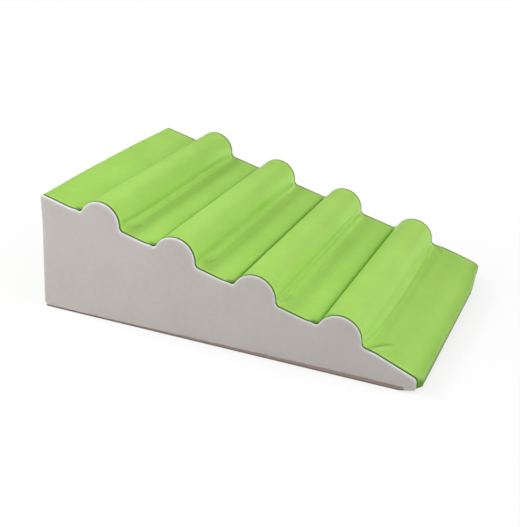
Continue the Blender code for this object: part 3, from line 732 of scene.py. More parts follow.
def valley_shade(out, valley_share, index, rises):
    """Painted shade on the cloth below the surface of the flats, uphill of a roll."""
    depth = rises[index] - VALLEY_SHADE_START - out
    return VALLEY_SHADE_SHARES[index] * rise(depth, 0.0, VALLEY_SHADE_FADE) * valley_share[:, None]


def toe_shade(tail):
    """Painted shade on the last strip below its foot, darkest round the toe."""
    below_break = rise(tail[:, 0], BREAK[0], APRON_SHADE_REACH)
    toe_edge = rise(tail[:, 0] - LENGTH / 2 + TOE_EDGE_WIDTH, 0.0, TOE_EDGE_WIDTH)
    round_toe = rise(TOE_HEIGHT - tail[:, 1], 0.0, NOSE_RADIUS)
    return APRON_SHADE_SHARE * below_break + TOE_EDGE_SHADE_SHARE * toe_edge + TOE_SHADE_SHARE * round_toe


# Top strips

def strip(name, sections, extra, look, darkening=0.0):
    """Cloth strip: sections is columns by stations by two, extra moves it outward."""
    y, turned, from_seam = across()
    points = np.empty((*sections.shape[:2], 3))
    for column, section in enumerate(sections):
        shift = (extra[column] - turned[column])[:, None]
        points[column][:, [0, 2]] = section + normals_of(np.gradient(section, axis=0)) * shift
        points[column][:, 1] = y[column]
    points = settle(points)
    obj = grid_object(name, points, look)
    whole = np.ones(points.shape[:2])
    # Painted shade in the seam groove beside each edge, half as strong at the far side, and a painted
    # highlight on the cloth just inside it
    edge = (1.0 - rise(from_seam, EDGE_SHADE_WIDTH, EDGE_SHADE_FADE)) * np.where(y > 0.0, FAR_EDGE_SHADE_SHARE, 1.0)
    painted_highlight = EDGE_LIGHT_SHARE * bell(from_seam, EDGE_LIGHT_INSET, EDGE_LIGHT_WIDTH)
    mark(obj, "seam_shade", np.maximum(edge[:, None] * whole, darkening))
    mark(obj, "seam_light", painted_highlight[:, None] * whole)
    give_thickness(obj)
    return obj


def wave_strip(index, green):
    """Strip over one roll and the flat below it; the last one wraps the toe."""
    y, _, from_seam = across()
    origin = roll_origin(index)
    heads, feet = (start_middle(index), start_end()), (foot_middle(index), foot_end())
    valley_share = rise(from_seam, EDGE_ROUND, VALLEY_BLEND)
    foot_share = rise(from_seam, FOOT_BLEND_START, FOOT_BLEND)
    parts = [blend(*heads, valley_share), widened(crest(), len(y)), blend(*feet, foot_share)]
    if index < LAST:
        reach = np.linalg.norm(roll_origin(index + 1) - origin)
        parts.append(blend(flat_middle(reach, VALLEY_DEPTH_SHARES[index + 1]), flat_end(reach), valley_share))
    local = np.concatenate(parts, axis=1)
    sections = placed(origin, local)
    along, out = local[..., 0], local[..., 1]
    # Shares of painted shade: in the valleys, the near corners, the folds and round the toe
    darkening = valley_shade(out, valley_share, index, VALLEY_FLANK_RISES) * (along < 0.0)
    seam_distance = from_seam[:, None]
    if index < LAST:
        darkening += valley_shade(out, valley_share, index + 1, VALLEY_FLAT_RISES) * (along > ROLL_RADIUS)
        darkening += corner_shade(along - reach, seam_distance) * (y < 0.0)[:, None]
    else:
        tail = toe_path()
        sections = np.concatenate([sections, widened(tail, len(y))], axis=1)
        along = np.concatenate([along, widened((tail - origin) @ DOWN, len(y))], axis=1)
        darkening = np.concatenate([darkening, widened(toe_shade(tail), len(y))], axis=1)
    head = len(heads[0])
    foot_start = head + len(crest())
    foot_stop = foot_start + len(feet[0])
    station = np.arange(sections.shape[1])
    lead = station - head + CREST_LEAD_STATIONS
    crest_weight = np.sin(math.pi * np.clip(lead / (foot_start - head + CREST_LEAD_STATIONS), 0.0, 1.0))
    flat_stations = len(station) - foot_stop - SHOULDER_STATIONS
    flat_place = np.clip((station - foot_stop) / flat_stations, 0.0, 1.0)
    flat_weight = np.sin(math.pi * flat_place) * (station > foot_stop)
    if index == LAST:
        flat_weight = flat_weight * (station < foot_stop + LAST_FLAT_STATIONS)
    crown = CROWN * (CREST_CROWN_SHARE * crest_weight + FLAT_CROWN_SHARE * flat_weight)
    extra = crown * rise(seam_distance, 0.0, CROWN_REACH)
    for near, side in ((True, y < 0.0), (False, y >= 0.0)):
        extra = extra + corner_folds(along, seam_distance, near, index) * side[:, None]
        darkening = darkening + crease_shade(along, seam_distance, near, index) * side[:, None]
    extra = extra + unevenness(sections, y[:, None], seam_distance, WAVE_SEED + index, head)
    return strip(f"wave_cover_{index + 1}", sections, extra, green, darkening)


def landing_strip(green):
    """Strip from the lip over the rear's top edge down to the first roll."""
    y, _, from_seam = across()
    seam_distance = from_seam[:, None]
    reach = np.linalg.norm(roll_origin(0) - REAR_TOP)
    corner = rounded(REAR_FOOT, REAR_TOP, BREAK, REAR_TOP_RADIUS, 10)
    lip = line((-LENGTH / 2, REAR_HEIGHT - REAR_LIP), corner[0], 6)[:-1]
    begin = (corner[-1] - REAR_TOP) @ DOWN
    flats = []
    for shape in (flat_middle(reach, VALLEY_DEPTH_SHARES[0]), flat_end(reach)):
        first = np.stack([np.linspace(begin, shape[18, 0], 28), np.zeros(28)], axis=1)
        flats.append(placed(REAR_TOP, np.vstack([first[1:], shape[19:]])))
    sections = np.concatenate([widened(np.vstack([lip, corner]), len(y)),
                               blend(*flats, rise(from_seam, EDGE_ROUND, VALLEY_BLEND))], axis=1)
    station = np.arange(sections.shape[1])
    place = np.clip((station - 2) / (len(station) - 2 - SHOULDER_STATIONS), 0.0, 1.0)
    weight = rise(place, 0.0, LANDING_CROWN_RISE) * rise(1.0 - place, 0.0, LANDING_CROWN_FALL)
    extra = CROWN * weight * rise(seam_distance, 0.0, LANDING_CROWN_REACH)
    extra = extra + unevenness(sections, y[:, None], seam_distance, LANDING_SEED, LANDING_CORNER_STATIONS)
    # The landing is darker towards its rear edge and towards its near side
    from_rear = np.exp(-(sections[..., 0] + LENGTH / 2) / LANDING_DARK_REACH)
    darkening = LANDING_DARK_SHARE * from_rear * (0.5 - y / WIDTH)[:, None]
    beside_roll = (sections - roll_origin(0)) @ DOWN
    darkening = darkening + corner_shade(beside_roll, seam_distance) * (y < 0.0)[:, None]
    return strip("landing_cover", sections, extra, green, darkening)


# Rear panels

def rear_strip(name, section, puff, look):
    y, _, from_seam = across()
    extra = REAR_PUFF * puff * rise(from_seam[:, None], 0.0, REAR_PUFF_REACH)
    return strip(name, widened(section, len(y)), extra, look)


def rear_cover(look):
    """Rear panel from the zip up to the landing's lip."""
    top = REAR_HEIGHT - REAR_LIP - 2 * HALF_GAP
    section = line((-LENGTH / 2, ZIP_HEIGHT + ZIP_SLOT / 2), (-LENGTH / 2, top), 34)
    puff = np.sin(math.pi * np.linspace(0.0, 1.0, len(section))) ** 0.8
    return rear_strip("rear_cover", section, puff, look)


def rear_hem_cover(look):
    """Hem panel from the base round the rear's foot up to the zip."""
    start = rear_foot_angle(BASE_RIM_REAR + HALF_GAP)
    low, high = (-LENGTH / 2, REAR_FOOT_RADIUS), (-LENGTH / 2, ZIP_HEIGHT - ZIP_SLOT / 2)
    section = np.vstack([arc(REAR_FOOT_CENTRE, REAR_FOOT_RADIUS, start, math.pi, 8), line(low, high, 10)[1:]])
    return rear_strip("rear_hem_cover", section, np.zeros(len(section)), look)


def near_end_tab(look):
    """Cloth tab at the slot's near end, which follows the corner that stands out."""
    low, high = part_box("zip_end_tab_left")
    y, z = np.meshgrid(np.linspace(low[1], high[1], 24), np.linspace(low[2], high[2], 6), indexing="ij")
    points = np.stack([np.full(y.shape, -LENGTH / 2), y, z], axis=-1)
    points[..., 0] -= foot_flare(points)
    obj = grid_object("zip_end_cover_left", points, look)
    give_thickness(obj)
    return obj


def zip_stitches(look):
    """One row of stitches above the zip's slot and one below it."""
    low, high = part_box("zip_tape_upper")
    count = int((high[1] - low[1]) / STITCH_PITCH)
    rings, sides = 5, 6
    angles = math.pi * (np.arange(rings) + 0.5)[:, None] / rings
    turns = np.arange(sides) * 2 * math.pi / sides
    girth = STITCH_RADIUS * np.sin(angles) ** 0.6
    swell = np.repeat(-STITCH_LENGTH / 2 * np.cos(angles), sides, 1)
    bead = np.stack([girth * np.cos(turns), swell, girth * np.sin(turns)], axis=-1).reshape(-1, 3)
    walls = tube_faces(rings, sides)
    caps = np.array([range(sides - 1, -1, -1), range((rings - 1) * sides, rings * sides)])
    points, faces = [], []
    for height in (ZIP_HEIGHT + ZIP_SLOT / 2 + STITCH_INSET, ZIP_HEIGHT - ZIP_SLOT / 2 - STITCH_INSET):
        for place in (np.arange(count) - (count - 1) / 2) * STITCH_PITCH:
            faces += (walls + len(points)).tolist() + (caps + len(points)).tolist()
            points += list(bead + (-LENGTH / 2, place, height))
    return mesh_object("zip_stitches", points, faces, look)


# Side panels

def band_height(x):
    """Height of the seam between a side panel and the base, which isn't sewn quite straight."""
    share = (x + LENGTH / 2) / (LENGTH - TOE_LAP)
    steady = BASE_RIM_REAR + (BASE_RIM_TOE - BASE_RIM_REAR) * rise(share * BAND_RISE_SHARE, 0.0, 1.0)
    wobble = sum(0.5 * np.sin(x * 2 * math.pi / length + phase) for length, phase in BAND_WAVES)
    return steady + BAND_WOBBLE * wobble


def smoothed(values, kernel):
    """Values round a closed loop, averaged with their neighbours."""
    padded = np.concatenate([values[-2:], values, values[:2]])
    return np.convolve(padded, np.array(kernel) / sum(kernel), mode="valid")


def side_loop():
    """Closed outline of a side panel: points, outward normals, and how far its edge rolls in."""
    pieces = [rounded(REAR_FOOT, REAR_TOP, BREAK, REAR_TOP_RADIUS, 8)]
    valley = -fillet_along(VALLEY_FILLET), VALLEY_FILLET
    foot = fillet_along(FOOT_FILLET), FOOT_FILLET
    up, away = fillet_angle(VALLEY_FILLET), fillet_angle(FOOT_FILLET)
    wave = np.vstack([arc(valley, VALLEY_FILLET, -math.pi / 2, -up, 10),
                      arc(ROLL_CENTRE, ROLL_RADIUS, math.pi - up, away, 44)[1:-1],
                      arc(foot, FOOT_FILLET, math.pi + away, 1.5 * math.pi, 10)])
    pieces += [placed(roll_origin(index), wave) for index in range(ROLL_COUNT)]
    pieces.append(rounded(REAR_TOP, BREAK, TOE_TOP, BREAK_RADIUS, 6))
    pieces.append(rounded(BREAK, TOE_TOP, TOE_FOOT, NOSE_RADIUS, 8))
    pieces.append(rounded(TOE_TOP, TOE_FOOT, UNDERCUT, TOE_FOOT_RADIUS, 8))
    stop = LENGTH / 2 - TOE_LAP
    corner = np.array([stop, float(band_height(np.array(stop)))])
    pieces.append(rounded(TOE_FOOT, under_toe(TOE_LAP), corner, LAP_RADIUS, 4))
    foot_angle = rear_foot_angle(BASE_RIM_REAR)
    rear_start = REAR_FOOT_CENTRE + REAR_FOOT_RADIUS * polar(foot_angle)
    seam_x = np.linspace(stop - BAND_CORNER_TOE, rear_start[0] + BAND_CORNER_REAR, 120)
    pieces.append(np.stack([seam_x, band_height(seam_x)], axis=1))
    pieces.append(arc(REAR_FOOT_CENTRE, REAR_FOOT_RADIUS, foot_angle, math.pi, 8))
    points = np.vstack(pieces)
    filled = []
    for point, after in zip(points, np.roll(points, -1, axis=0)):
        steps = max(1, int(np.linalg.norm(after - point) / LOOP_STEP))
        filled.append(line(point, after, steps + 1)[:-1])
    loop = np.vstack(filled)
    low = loop[:, 1] < band_height(loop[:, 0]) + BAND_LOW
    turn_share = np.where(low & (loop[:, 0] < stop + BAND_AHEAD), BAND_TURN_SHARE, 1.0)
    normals = normals_of(np.roll(loop, -1, axis=0) - np.roll(loop, 1, axis=0))
    return loop, normals, smoothed(turn_share, (1, 2, 3, 2, 1))


def inside(points, loop):
    """Whether each point lies in a closed loop."""
    x, z = points[:, :1], points[:, 1:]
    x0, z0 = loop[:, 0], loop[:, 1]
    x1, z1 = np.roll(x0, -1), np.roll(z0, -1)
    straddles = (z0 > z) != (z1 > z)
    with np.errstate(divide="ignore", invalid="ignore"):
        crossing = x0 + (z - z0) * (x1 - x0) / (z1 - z0)
    return (np.sum(straddles & (x < crossing), axis=1) % 2) == 1


def nearest(points, rim):
    """Distance from each point to the nearest one of a rim."""
    return np.sqrt(((points[:, None] - rim[None]) ** 2).sum(axis=2)).min(axis=1)


def side_rings(side):
    """Rings of a side panel's rim from inside to the face: place across, depth, painted shade and painted
    highlight.
    """
    face = WIDTH / 2
    edge = face - SEAM_INSET + HALF_GAP
    crown = SEAM_INSET - HALF_GAP - RIM_RADIUS
    rings = [(edge, EDGE_DEPTH, 1.0, 0.0), (edge, EDGE_ROUND, 1.0, 0.0)]
    for angle in np.linspace(0.0, math.pi / 2, 5)[1:]:
        turn = math.sin(angle)
        place = edge + crown * (1.0 - math.cos(angle))
        rings.append((place, EDGE_ROUND * (1.0 - turn), 1.0 - turn ** 4, turn ** 8))
    for angle in np.linspace(0.0, math.pi / 2, 7)[1:]:
        rings.append((face - RIM_RADIUS * (1.0 - math.sin(angle)), RIM_RADIUS * (1.0 - math.cos(angle)), 0.0,
                      1.0 - RIM_LIGHT_FALL * (angle / (math.pi / 2)) ** 2))
    place, depth, shade, shine = np.array(rings).T
    # On the far side the rim gets a painted olive shade over its top and only a little of the painted
    # highlight
    if side > 0.0:
        shade = np.maximum(shade, FAR_RIM_SHADE_SHARE * rise(face - place, 0.0, RIM_RADIUS))
        shine = FAR_RIM_LIGHT_SHARE * shine
    return place, depth, shade, shine


def side_face(rim, side):
    """Puffed face within the rim: points, triangles, and distances from the rim."""
    xs = np.arange(-LENGTH / 2 + FACE_STEP, LENGTH / 2, FACE_STEP)
    zs = np.arange(FACE_STEP, REAR_HEIGHT + ROLL_RADIUS, FACE_STEP)
    grid = np.stack(np.meshgrid(xs, zs, indexing="ij"), axis=-1).reshape(-1, 2)
    grid = grid[inside(grid, rim)]
    grid = grid[nearest(grid, rim) > FACE_STEP * FACE_CLEARANCE_SHARE]
    edges = [(k, (k + 1) % len(rim)) for k in range(len(rim))]
    made = delaunay_2d_cdt([Vector(p) for p in np.vstack([rim, grid])], edges, [], 1, 1e-7)
    verts = np.array([tuple(v) for v in made[0]])
    distance = nearest(verts, rim)
    bulge = SIDE_PUFF * (1.0 - np.exp(-distance / SIDE_PUFF_REACH))
    waves = ripple(verts[:, 0], verts[:, 1] + side, SIDE_SEED)
    bulge += SIDE_RIPPLE * waves * (1.0 - np.exp(-distance / SIDE_RIPPLE_REACH))
    return np.stack([verts[:, 0], WIDTH / 2 + bulge, verts[:, 1]], axis=1), made[2], distance


def side_cover(name, side, look):
    """Side panel whose rim rolls over onto the top; side is -1 for the near one and 1 for the far one."""
    loop, normals, turn_share = side_loop()
    count = len(loop)
    place, depth, shade, shine = side_rings(side)
    points = []
    for y, inset in zip(place, depth):
        ring = loop - normals * (inset * turn_share)[:, None]
        points.append(np.insert(ring, 1, y, axis=1))
    rim = loop - normals * (RIM_RADIUS * turn_share)[:, None]
    face, triangles, distance = side_face(rim, side)
    faces = tube_faces(len(place), count).tolist()
    faces += [tuple(len(place) * count + k for k in triangle) for triangle in triangles]
    whole = settle(np.vstack([*points, face]) * np.array([1.0, side, 1.0]))
    obj = mesh_object(name, whole, faces, look)
    # Painted highlight along the rim where it stands above a height, weaker over the rolls, and a little of
    # it on the face beside the rim; painted shade in the rim's inner rings
    on_rolls = rise(loop[:, 0] / RIM_FADE_LENGTH, -0.5, 1.0)
    on_rolls = on_rolls * (1.0 - rise(loop[:, 0] - BREAK[0] + RIM_FADE_END, 0.0, RIM_FADE_END))
    above = smoothed((loop[:, 1] > RIM_LIGHT_HEIGHT).astype(float), (1, 1, 1, 1, 1))
    above = above * (1.0 - RIM_FADE_SHARE * on_rolls)
    on_face = FACE_LIGHT_SHARE * bell(distance, 0.0, RIM_LIGHT_WIDTH)
    mark(obj, "seam_shade", np.concatenate([np.repeat(shade, count), np.zeros(len(face))]))
    mark(obj, "seam_light", np.concatenate([np.outer(shine, above).ravel(), on_face]))
    weld(obj, Vector((0.0, side, 0.0)))
    give_thickness(obj)
    return obj


# Base

def base_cover(look):
    """Anti-slip base: the flat underside and its low rim."""
    lap = under_toe(TOE_LAP + HALF_GAP)
    bend = rounded(TOE_FOOT, UNDERCUT, REAR_FOOT, UNDERCUT_RADIUS, 6)
    foot = arc(REAR_FOOT_CENTRE, REAR_FOOT_RADIUS, 1.5 * math.pi, rear_foot_angle(BASE_RIM_REAR), 10)
    underside = line(bend[-1], foot[0] * (1.0, 0.0), 150)
    path = np.vstack([[lap], line(lap, bend[0], 3)[1:-1], bend, underside[1:-1], foot])
    normals = normals_of(np.gradient(path, axis=0))
    seam = band_height(path[:, 0]) - 2 * HALF_GAP
    seam[-len(foot):] = np.minimum(seam[-len(foot):], BASE_RIM_REAR + BASE_LIP_REAR)
    face = WIDTH / 2
    columns = [(path[:, 0], face - inset, np.maximum(seam - drop, path[:, 1])) for inset, drop in BASE_LIP]
    for angle in np.linspace(0.0, math.pi / 2, 6):
        moved = path - normals * (BASE_ROUND * (1.0 - math.sin(angle)))
        z = np.minimum(moved[:, 1], np.maximum(seam - BASE_LIP[-1][1], path[:, 1]))
        columns.append((moved[:, 0], face - BASE_ROUND * (1.0 - math.cos(angle)), z))
    columns += [(path[:, 0], (face - BASE_ROUND) * share, path[:, 1])
                for share in np.linspace(1.0, 0.0, 9)[1:]]
    half = np.array([np.stack([x, np.full(len(x), y), z], axis=1) for x, y, z in columns])
    points = np.concatenate([half, half[::-1][1:] * np.array([1.0, -1.0, 1.0])])
    points[..., 0] -= foot_flare(points)
    obj = grid_object("base_cover", points, look)
    weld(obj, Vector((0.0, 0.0, -1.0)))
    give_thickness(obj)
    return obj


# Materials

def rgb(red, green, blue):
    """Linear colour from sRGB values out of 255."""
    def linear(value):
        value /= 255
        return value / 12.92 if value <= 0.04045 else ((value + 0.055) / 1.055) ** 2.4
    return (linear(red), linear(green), linear(blue), 1.0)


class Look:
    """Small helper to build one node material."""

    def __init__(self, name):
        self.material = bpy.data.materials.new(name)
        self.material.use_nodes = True
        self.tree = self.material.node_tree
        self.shader = self.tree.nodes["Principled BSDF"]
        self.place = self.node("ShaderNodeTexCoord").outputs["Object"]

    def node(self, kind, **values):
        made = self.tree.nodes.new(kind)
        for key, value in values.items():
            setattr(made, key, value)
        return made

    def feed(self, socket, value):
        """Links a socket to another one, or sets its plain value."""
        if isinstance(value, bpy.types.NodeSocket):
            self.tree.links.new(value, socket)
        else:
            socket.default_value = value

    def texture(self, kind, output, inputs, **values):
        made = self.node(kind, **values)
        self.feed(made.inputs["Vector"], self.place)
        for name, value in inputs.items():
            self.feed(made.inputs[name], value)
        return made.outputs[output]

    def noise(self, scale, detail=3.0, roughness=0.5):
        inputs = {"Scale": scale, "Detail": detail, "Roughness": roughness}
        return self.texture("ShaderNodeTexNoise", "Fac", inputs)

    def cells(self, scale):
        inputs = {"Scale": scale, "Smoothness": 0.6}
        return self.texture("ShaderNodeTexVoronoi", "Distance", inputs, feature="SMOOTH_F1")

    def attribute(self, name):
        return self.node("ShaderNodeAttribute", attribute_name=name).outputs["Fac"]

    def math(self, operation, first, second):
        made = self.node("ShaderNodeMath", operation=operation)
        self.feed(made.inputs[0], first)
        self.feed(made.inputs[1], second)
        return made.outputs["Value"]

    def spread(self, value, low, high, start=0.0, stop=1.0):
        made = self.node("ShaderNodeMapRange")
        names = "Value", "From Min", "From Max", "To Min", "To Max"
        for name, given in zip(names, (value, start, stop, low, high)):
            self.feed(made.inputs[name], given)
        return made.outputs["Result"]

    def mix(self, share, first, second):
        made = self.node("ShaderNodeMix", data_type="RGBA")
        self.feed(made.inputs["Factor"], share)
        for name, value in (("A", first), ("B", second)):
            self.feed([s for s in made.inputs if s.name == name and s.type == "RGBA"][0], value)
        return [s for s in made.outputs if s.type == "RGBA"][0]

    def patches(self, value, start, stop, first, second):
        """The first colour below the start of a value and the second one above its stop."""
        return self.mix(self.spread(value, 0.0, 1.0, start, stop), first, second)

    def finish(self, tone, roughness, *bumps):
        """Colour, roughness and bumps, each a height with its distance and strength."""
        self.feed(self.shader.inputs["Base Color"], tone)
        self.feed(self.shader.inputs["Roughness"], roughness)
        below = None
        for height, distance, strength in bumps:
            made = self.node("ShaderNodeBump")
            self.feed(made.inputs["Strength"], strength)
            self.feed(made.inputs["Distance"], distance)
            self.feed(made.inputs["Height"], height)
            if below:
                self.feed(made.inputs["Normal"], below)
            below = made.outputs["Normal"]
        self.feed(self.shader.inputs["Normal"], below)
        return self.material


def coated_cloth(name, tones, seam, edge, roughness):
    """Vinyl-coated cloth: fine leather grain over a faint weave, uneven tone, satin gloss, painted shade that
    also dulls the gloss, and painted highlights.
    """
    look = Look(name)
    colour, deep, light = [rgb(*tone) for tone in tones]
    fine = look.noise(60.0, 4.0)
    shade_share = look.attribute("seam_shade")
    tone = look.patches(look.noise(7.0, 3.0), 0.35, 0.65, deep, colour)
    tone = look.mix(look.spread(fine, 0.0, 0.35, 0.45, 0.80), tone, light)
    # Painted highlight from seam_light, then painted shade from seam_shade, which also lowers the gloss and
    # the sheen
    tone = look.mix(look.attribute("seam_light"), tone, rgb(*edge))
    tone = look.mix(shade_share, tone, rgb(*seam))
    pores = look.cells(850.0)
    unevenly = look.math("ADD", fine, look.math("MULTIPLY", pores, 0.4))
    look.feed(look.shader.inputs["Specular IOR Level"], look.spread(shade_share, 0.35, 0.08))
    look.feed(look.shader.inputs["Sheen Weight"], look.spread(shade_share, 0.06, 0.0))
    look.feed(look.shader.inputs["Sheen Roughness"], 0.5)
    return look.finish(tone, look.spread(unevenly, roughness - 0.06, roughness + 0.08, 0.3, 1.0),
                       (look.noise(45.0, 4.0, 0.6), 0.0009, 0.30), (pores, 0.00016, 0.45),
                       (look.noise(1500.0, 2.0), 0.00005, 0.5))


def antislip_look():
    """Dark anti-slip cloth with small raised dots and scuffs, paler and ragged along its top edge."""
    look = Look("antislip_cloth_look")
    scuffs = look.noise(35.0, 5.0, 0.65)
    tone = look.patches(scuffs, 0.35, 0.75, rgb(96, 80, 70), rgb(128, 108, 95))
    height = look.node("ShaderNodeSeparateXYZ")
    look.feed(height.inputs[0], look.place)
    ragged = look.math("ADD", height.outputs["Z"], look.math("MULTIPLY", look.noise(120.0, 3.0), 0.0016))
    tone = look.patches(ragged, 0.0030, 0.0075, tone, rgb(158, 140, 132))
    return look.finish(tone, look.spread(scuffs, 0.70, 0.92), (look.cells(420.0), 0.0004, 0.6))


def thread_look():
    """Twisted thread, a shade darker than the cloth."""
    look = Look("thread_look")
    twist = look.noise(2600.0, 2.0)
    tone = look.mix(twist, rgb(112, 150, 60), rgb(150, 190, 88))
    return look.finish(tone, look.spread(twist, 0.55, 0.75), (twist, 0.0001, 0.6))


def foam_look():
    look = Look("foam_look")
    pores = look.cells(600.0)
    tone = look.patches(pores, 0.0, 0.8, rgb(196, 188, 160), rgb(228, 222, 202))
    return look.finish(tone, 0.95, (pores, 0.0006, 0.7))


def tape_look():
    """Woven tape: a fine twill of two wave sets."""
    look = Look("zip_tape_look")
    made = []
    for turn in (0.6, -0.6):
        turned = look.texture("ShaderNodeMapping", "Vector", {"Rotation": (turn, 0.0, 0.0)})
        wave = {"Scale": 260.0, "Vector": turned}
        made.append(look.texture("ShaderNodeTexWave", "Fac", wave, bands_direction="Y"))
    weave = look.math("MULTIPLY", *made)
    tone = look.mix(weave, rgb(38, 38, 40), rgb(78, 78, 82))
    return look.finish(tone, look.spread(look.noise(90.0), 0.80, 0.95), (weave, 0.0002, 0.8))


def plastic_look():
    """Black moulded teeth with a faint haze."""
    look = Look("zip_plastic_look")
    haze = look.noise(140.0, 4.0)
    tone = look.patches(haze, 0.3, 0.7, rgb(34, 34, 36), rgb(52, 52, 55))
    return look.finish(tone, look.spread(haze, 0.30, 0.48), (look.noise(700.0, 2.0), 0.00006, 0.5))


def metal_look():
    """Painted die-cast slider, rubbed brighter in places."""
    look = Look("slider_metal_look")
    rubbed = look.noise(260.0, 4.0, 0.6)
    tone = look.patches(rubbed, 0.45, 0.7, rgb(122, 123, 126), rgb(176, 177, 180))
    look.feed(look.shader.inputs["Metallic"], 1.0)
    return look.finish(tone, look.spread(rubbed, 0.26, 0.44), (look.noise(900.0, 2.0), 0.00005, 0.5))


def dress_nodes(look, *names):
    for name in names:
        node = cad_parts[name]
        node.data.materials.clear()
        node.data.materials.append(look)


# Surroundings

def place_camera():
    back = np.array([math.sin(CAMERA_AZIMUTH) * math.cos(CAMERA_ELEVATION),
                     -math.cos(CAMERA_AZIMUTH) * math.cos(CAMERA_ELEVATION), math.sin(CAMERA_ELEVATION)])
    right = np.cross(-back, (0.0, 0.0, 1.0))
    right /= np.linalg.norm(right)
    down = np.cross(-back, right)
    turn, lean = math.cos(CAMERA_ROLL), math.sin(CAMERA_ROLL)
    axes = np.array([turn * right + lean * down, -lean * right + turn * down, -back])
    offset = np.array([-CAMERA_OFFSET[0], -CAMERA_OFFSET[1], -CAMERA_DISTANCE])
    location = np.array(AIM) + axes.T @ offset
    data = bpy.data.cameras.new("camera")
    data.sensor_fit = "VERTICAL"
    data.sensor_height = SENSOR
    data.lens = FOCAL_PIXELS * SENSOR / IMAGE_HEIGHT
    data.shift_x = (IMAGE_WIDTH / 2 - PRINCIPAL[0]) / IMAGE_HEIGHT
    data.shift_y = -(IMAGE_HEIGHT / 2 - PRINCIPAL[1]) / IMAGE_HEIGHT
    camera = bpy.data.objects.new("camera", data)
    rotation = Matrix((axes[0], -axes[1], -axes[2])).transposed()
    camera.matrix_world = Matrix.Translation(Vector(location)) @ rotation.to_4x4()
    bpy.context.scene.collection.objects.link(camera)
    bpy.context.scene.camera = camera
    bpy.context.scene.view_settings.view_transform = "Standard"


def floor():
    """Pale floor that the camera sees nearly white, and plain white away from the object."""
    look = Look("floor_look")
    look.feed(look.shader.inputs["Base Color"], (0.86, 0.86, 0.86, 1.0))
    look.feed(look.shader.inputs["Roughness"], 0.9)
    look.feed(look.shader.inputs["Specular IOR Level"], 0.0)
    rays = look.node("ShaderNodeLightPath").outputs
    seen = look.math("MAXIMUM", rays["Is Camera Ray"], rays["Is Glossy Ray"])
    distance = look.node("ShaderNodeVectorMath", operation="LENGTH")
    look.feed(distance.inputs[0], look.place)
    white = look.spread(distance.outputs["Value"], FLOOR_WHITE_SHARE, 1.0, FLOOR_NEAR, FLOOR_FAR)
    mixed = look.node("ShaderNodeMixShader")
    glow = look.node("ShaderNodeEmission").outputs["Emission"]
    fed = look.math("MULTIPLY", seen, white), look.shader.outputs["BSDF"], glow
    for socket, value in zip(mixed.inputs, fed):
        look.feed(socket, value)
    look.feed(look.tree.nodes["Material Output"].inputs["Surface"], mixed.outputs["Shader"])
    mesh = bpy.data.meshes.new("floor")
    corners = [(-1, -1), (1, -1), (1, 1), (-1, 1)]
    mesh.from_pydata([(x * FLOOR_HALF, y * FLOOR_HALF, 0.0) for x, y in corners], [], [(0, 1, 2, 3)])
    mesh.materials.append(look.material)
    obj = bpy.data.objects.new("floor", mesh)
    bpy.context.scene.collection.objects.link(obj)


def lamp(name, kind, power, towards, place=(0.0, 0.0, 0.0), **values):
    """Lamp that stands at a place and shines away from a direction."""
    data = bpy.data.lights.new(name, kind)
    data.energy = power
    for key, value in values.items():
        setattr(data, key, value)
    made = bpy.data.objects.new(name, data)
    made.location = place
    made.rotation_euler = Vector(towards).to_track_quat("Z", "Y").to_euler()
    bpy.context.scene.collection.objects.link(made)
    return made


def dome():
    """White surroundings that the camera sees, and a faint glow from all around."""
    world = bpy.data.worlds.new("studio")
    bpy.context.scene.world = world
    world.use_nodes = True
    nodes, links = world.node_tree.nodes, world.node_tree.links
    mixed = nodes.new("ShaderNodeMixShader")
    links.new(nodes.new("ShaderNodeLightPath").outputs["Is Camera Ray"], mixed.inputs[0])
    faint, white = nodes["Background"], nodes.new("ShaderNodeBackground")
    for socket, made, strength in ((mixed.inputs[1], faint, DOME_GLOW), (mixed.inputs[2], white, 1.0)):
        made.inputs["Color"].default_value = (1.0, 1.0, 1.0, 1.0)
        made.inputs["Strength"].default_value = strength
        links.new(made.outputs[0], socket)
    links.new(mixed.outputs[0], nodes["World Output"].inputs["Surface"])


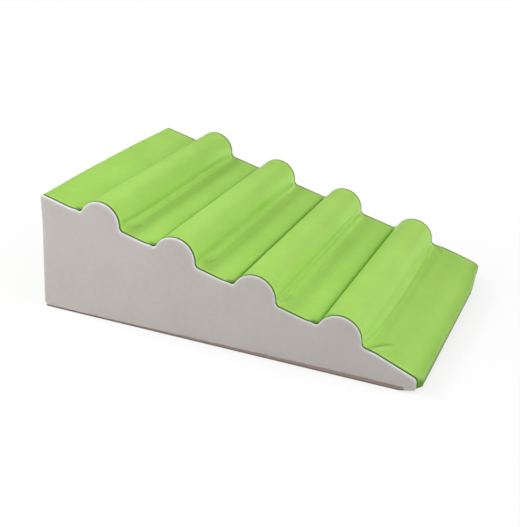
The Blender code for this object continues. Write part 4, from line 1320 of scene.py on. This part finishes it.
def light():
    """Distant suns, square softboxes that face the object, and a low strip for the far side."""
    dome()
    for name, (towards, strength, angle) in SUNS.items():
        lamp(name, "SUN", strength, Vector(towards).normalized(), angle=math.radians(angle))
    for name, (place, size, power) in PANELS.items():
        lamp(name, "AREA", power, Vector(place) - Vector(AIM), place, size=size)
    towards = Vector(FAR_STRIP_PLACE) - Vector(FAR_STRIP_AIM)
    strip_light = lamp("far_side_light", "AREA", FAR_STRIP_POWER, towards, FAR_STRIP_PLACE,
                       shape="RECTANGLE", size=FAR_STRIP_SIZE[0], size_y=FAR_STRIP_SIZE[1])
    strip_light.visible_camera = False
    strip_light.visible_glossy = False


def build():
    green = coated_cloth("green_coated_cloth", GREEN_TONES, GREEN_SHADE, GREEN_HIGHLIGHT, 0.48)
    near_grey = coated_cloth("grey_coated_cloth", GREY_TONES, GREY_SHADE, GREY_HIGHLIGHT, 0.50)
    # Copy of the grey cloth whose painted shade is olive, used for the far side's rim
    far_grey = coated_cloth("grey_coated_cloth_far_shade", GREY_TONES, GREY_SHADE_FAR, GREY_HIGHLIGHT, 0.50)
    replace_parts(landing_strip(green), "landing_panel")
    for index in range(ROLL_COUNT):
        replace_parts(wave_strip(index, green), f"wave_panel_{index + 1}")
    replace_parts(rear_cover(green), "rear_panel")
    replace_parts(rear_hem_cover(green), "rear_hem_panel")
    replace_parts(near_end_tab(green), "zip_end_tab_left")
    zip_stitches(thread_look())
    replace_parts(side_cover("side_cover_left", -1.0, near_grey), "side_panel_left")
    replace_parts(side_cover("side_cover_right", 1.0, far_grey), "side_panel_right")
    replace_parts(base_cover(antislip_look()), "base_panel")
    dress_nodes(foam_look(), "foam_wedge", *[f"foam_roll_{k + 1}" for k in range(ROLL_COUNT)])
    dress_nodes(tape_look(), "zip_tape_upper", "zip_tape_lower")
    dress_nodes(plastic_look(), "zip_chain_upper", "zip_chain_lower", "zip_bottom_stop",
                "zip_top_stop_upper", "zip_top_stop_lower")
    dress_nodes(metal_look(), "zip_slider", "zip_slider_back")
    dress_nodes(green, "zip_end_tab_right")
    place_camera()
    floor()
    light()


build()
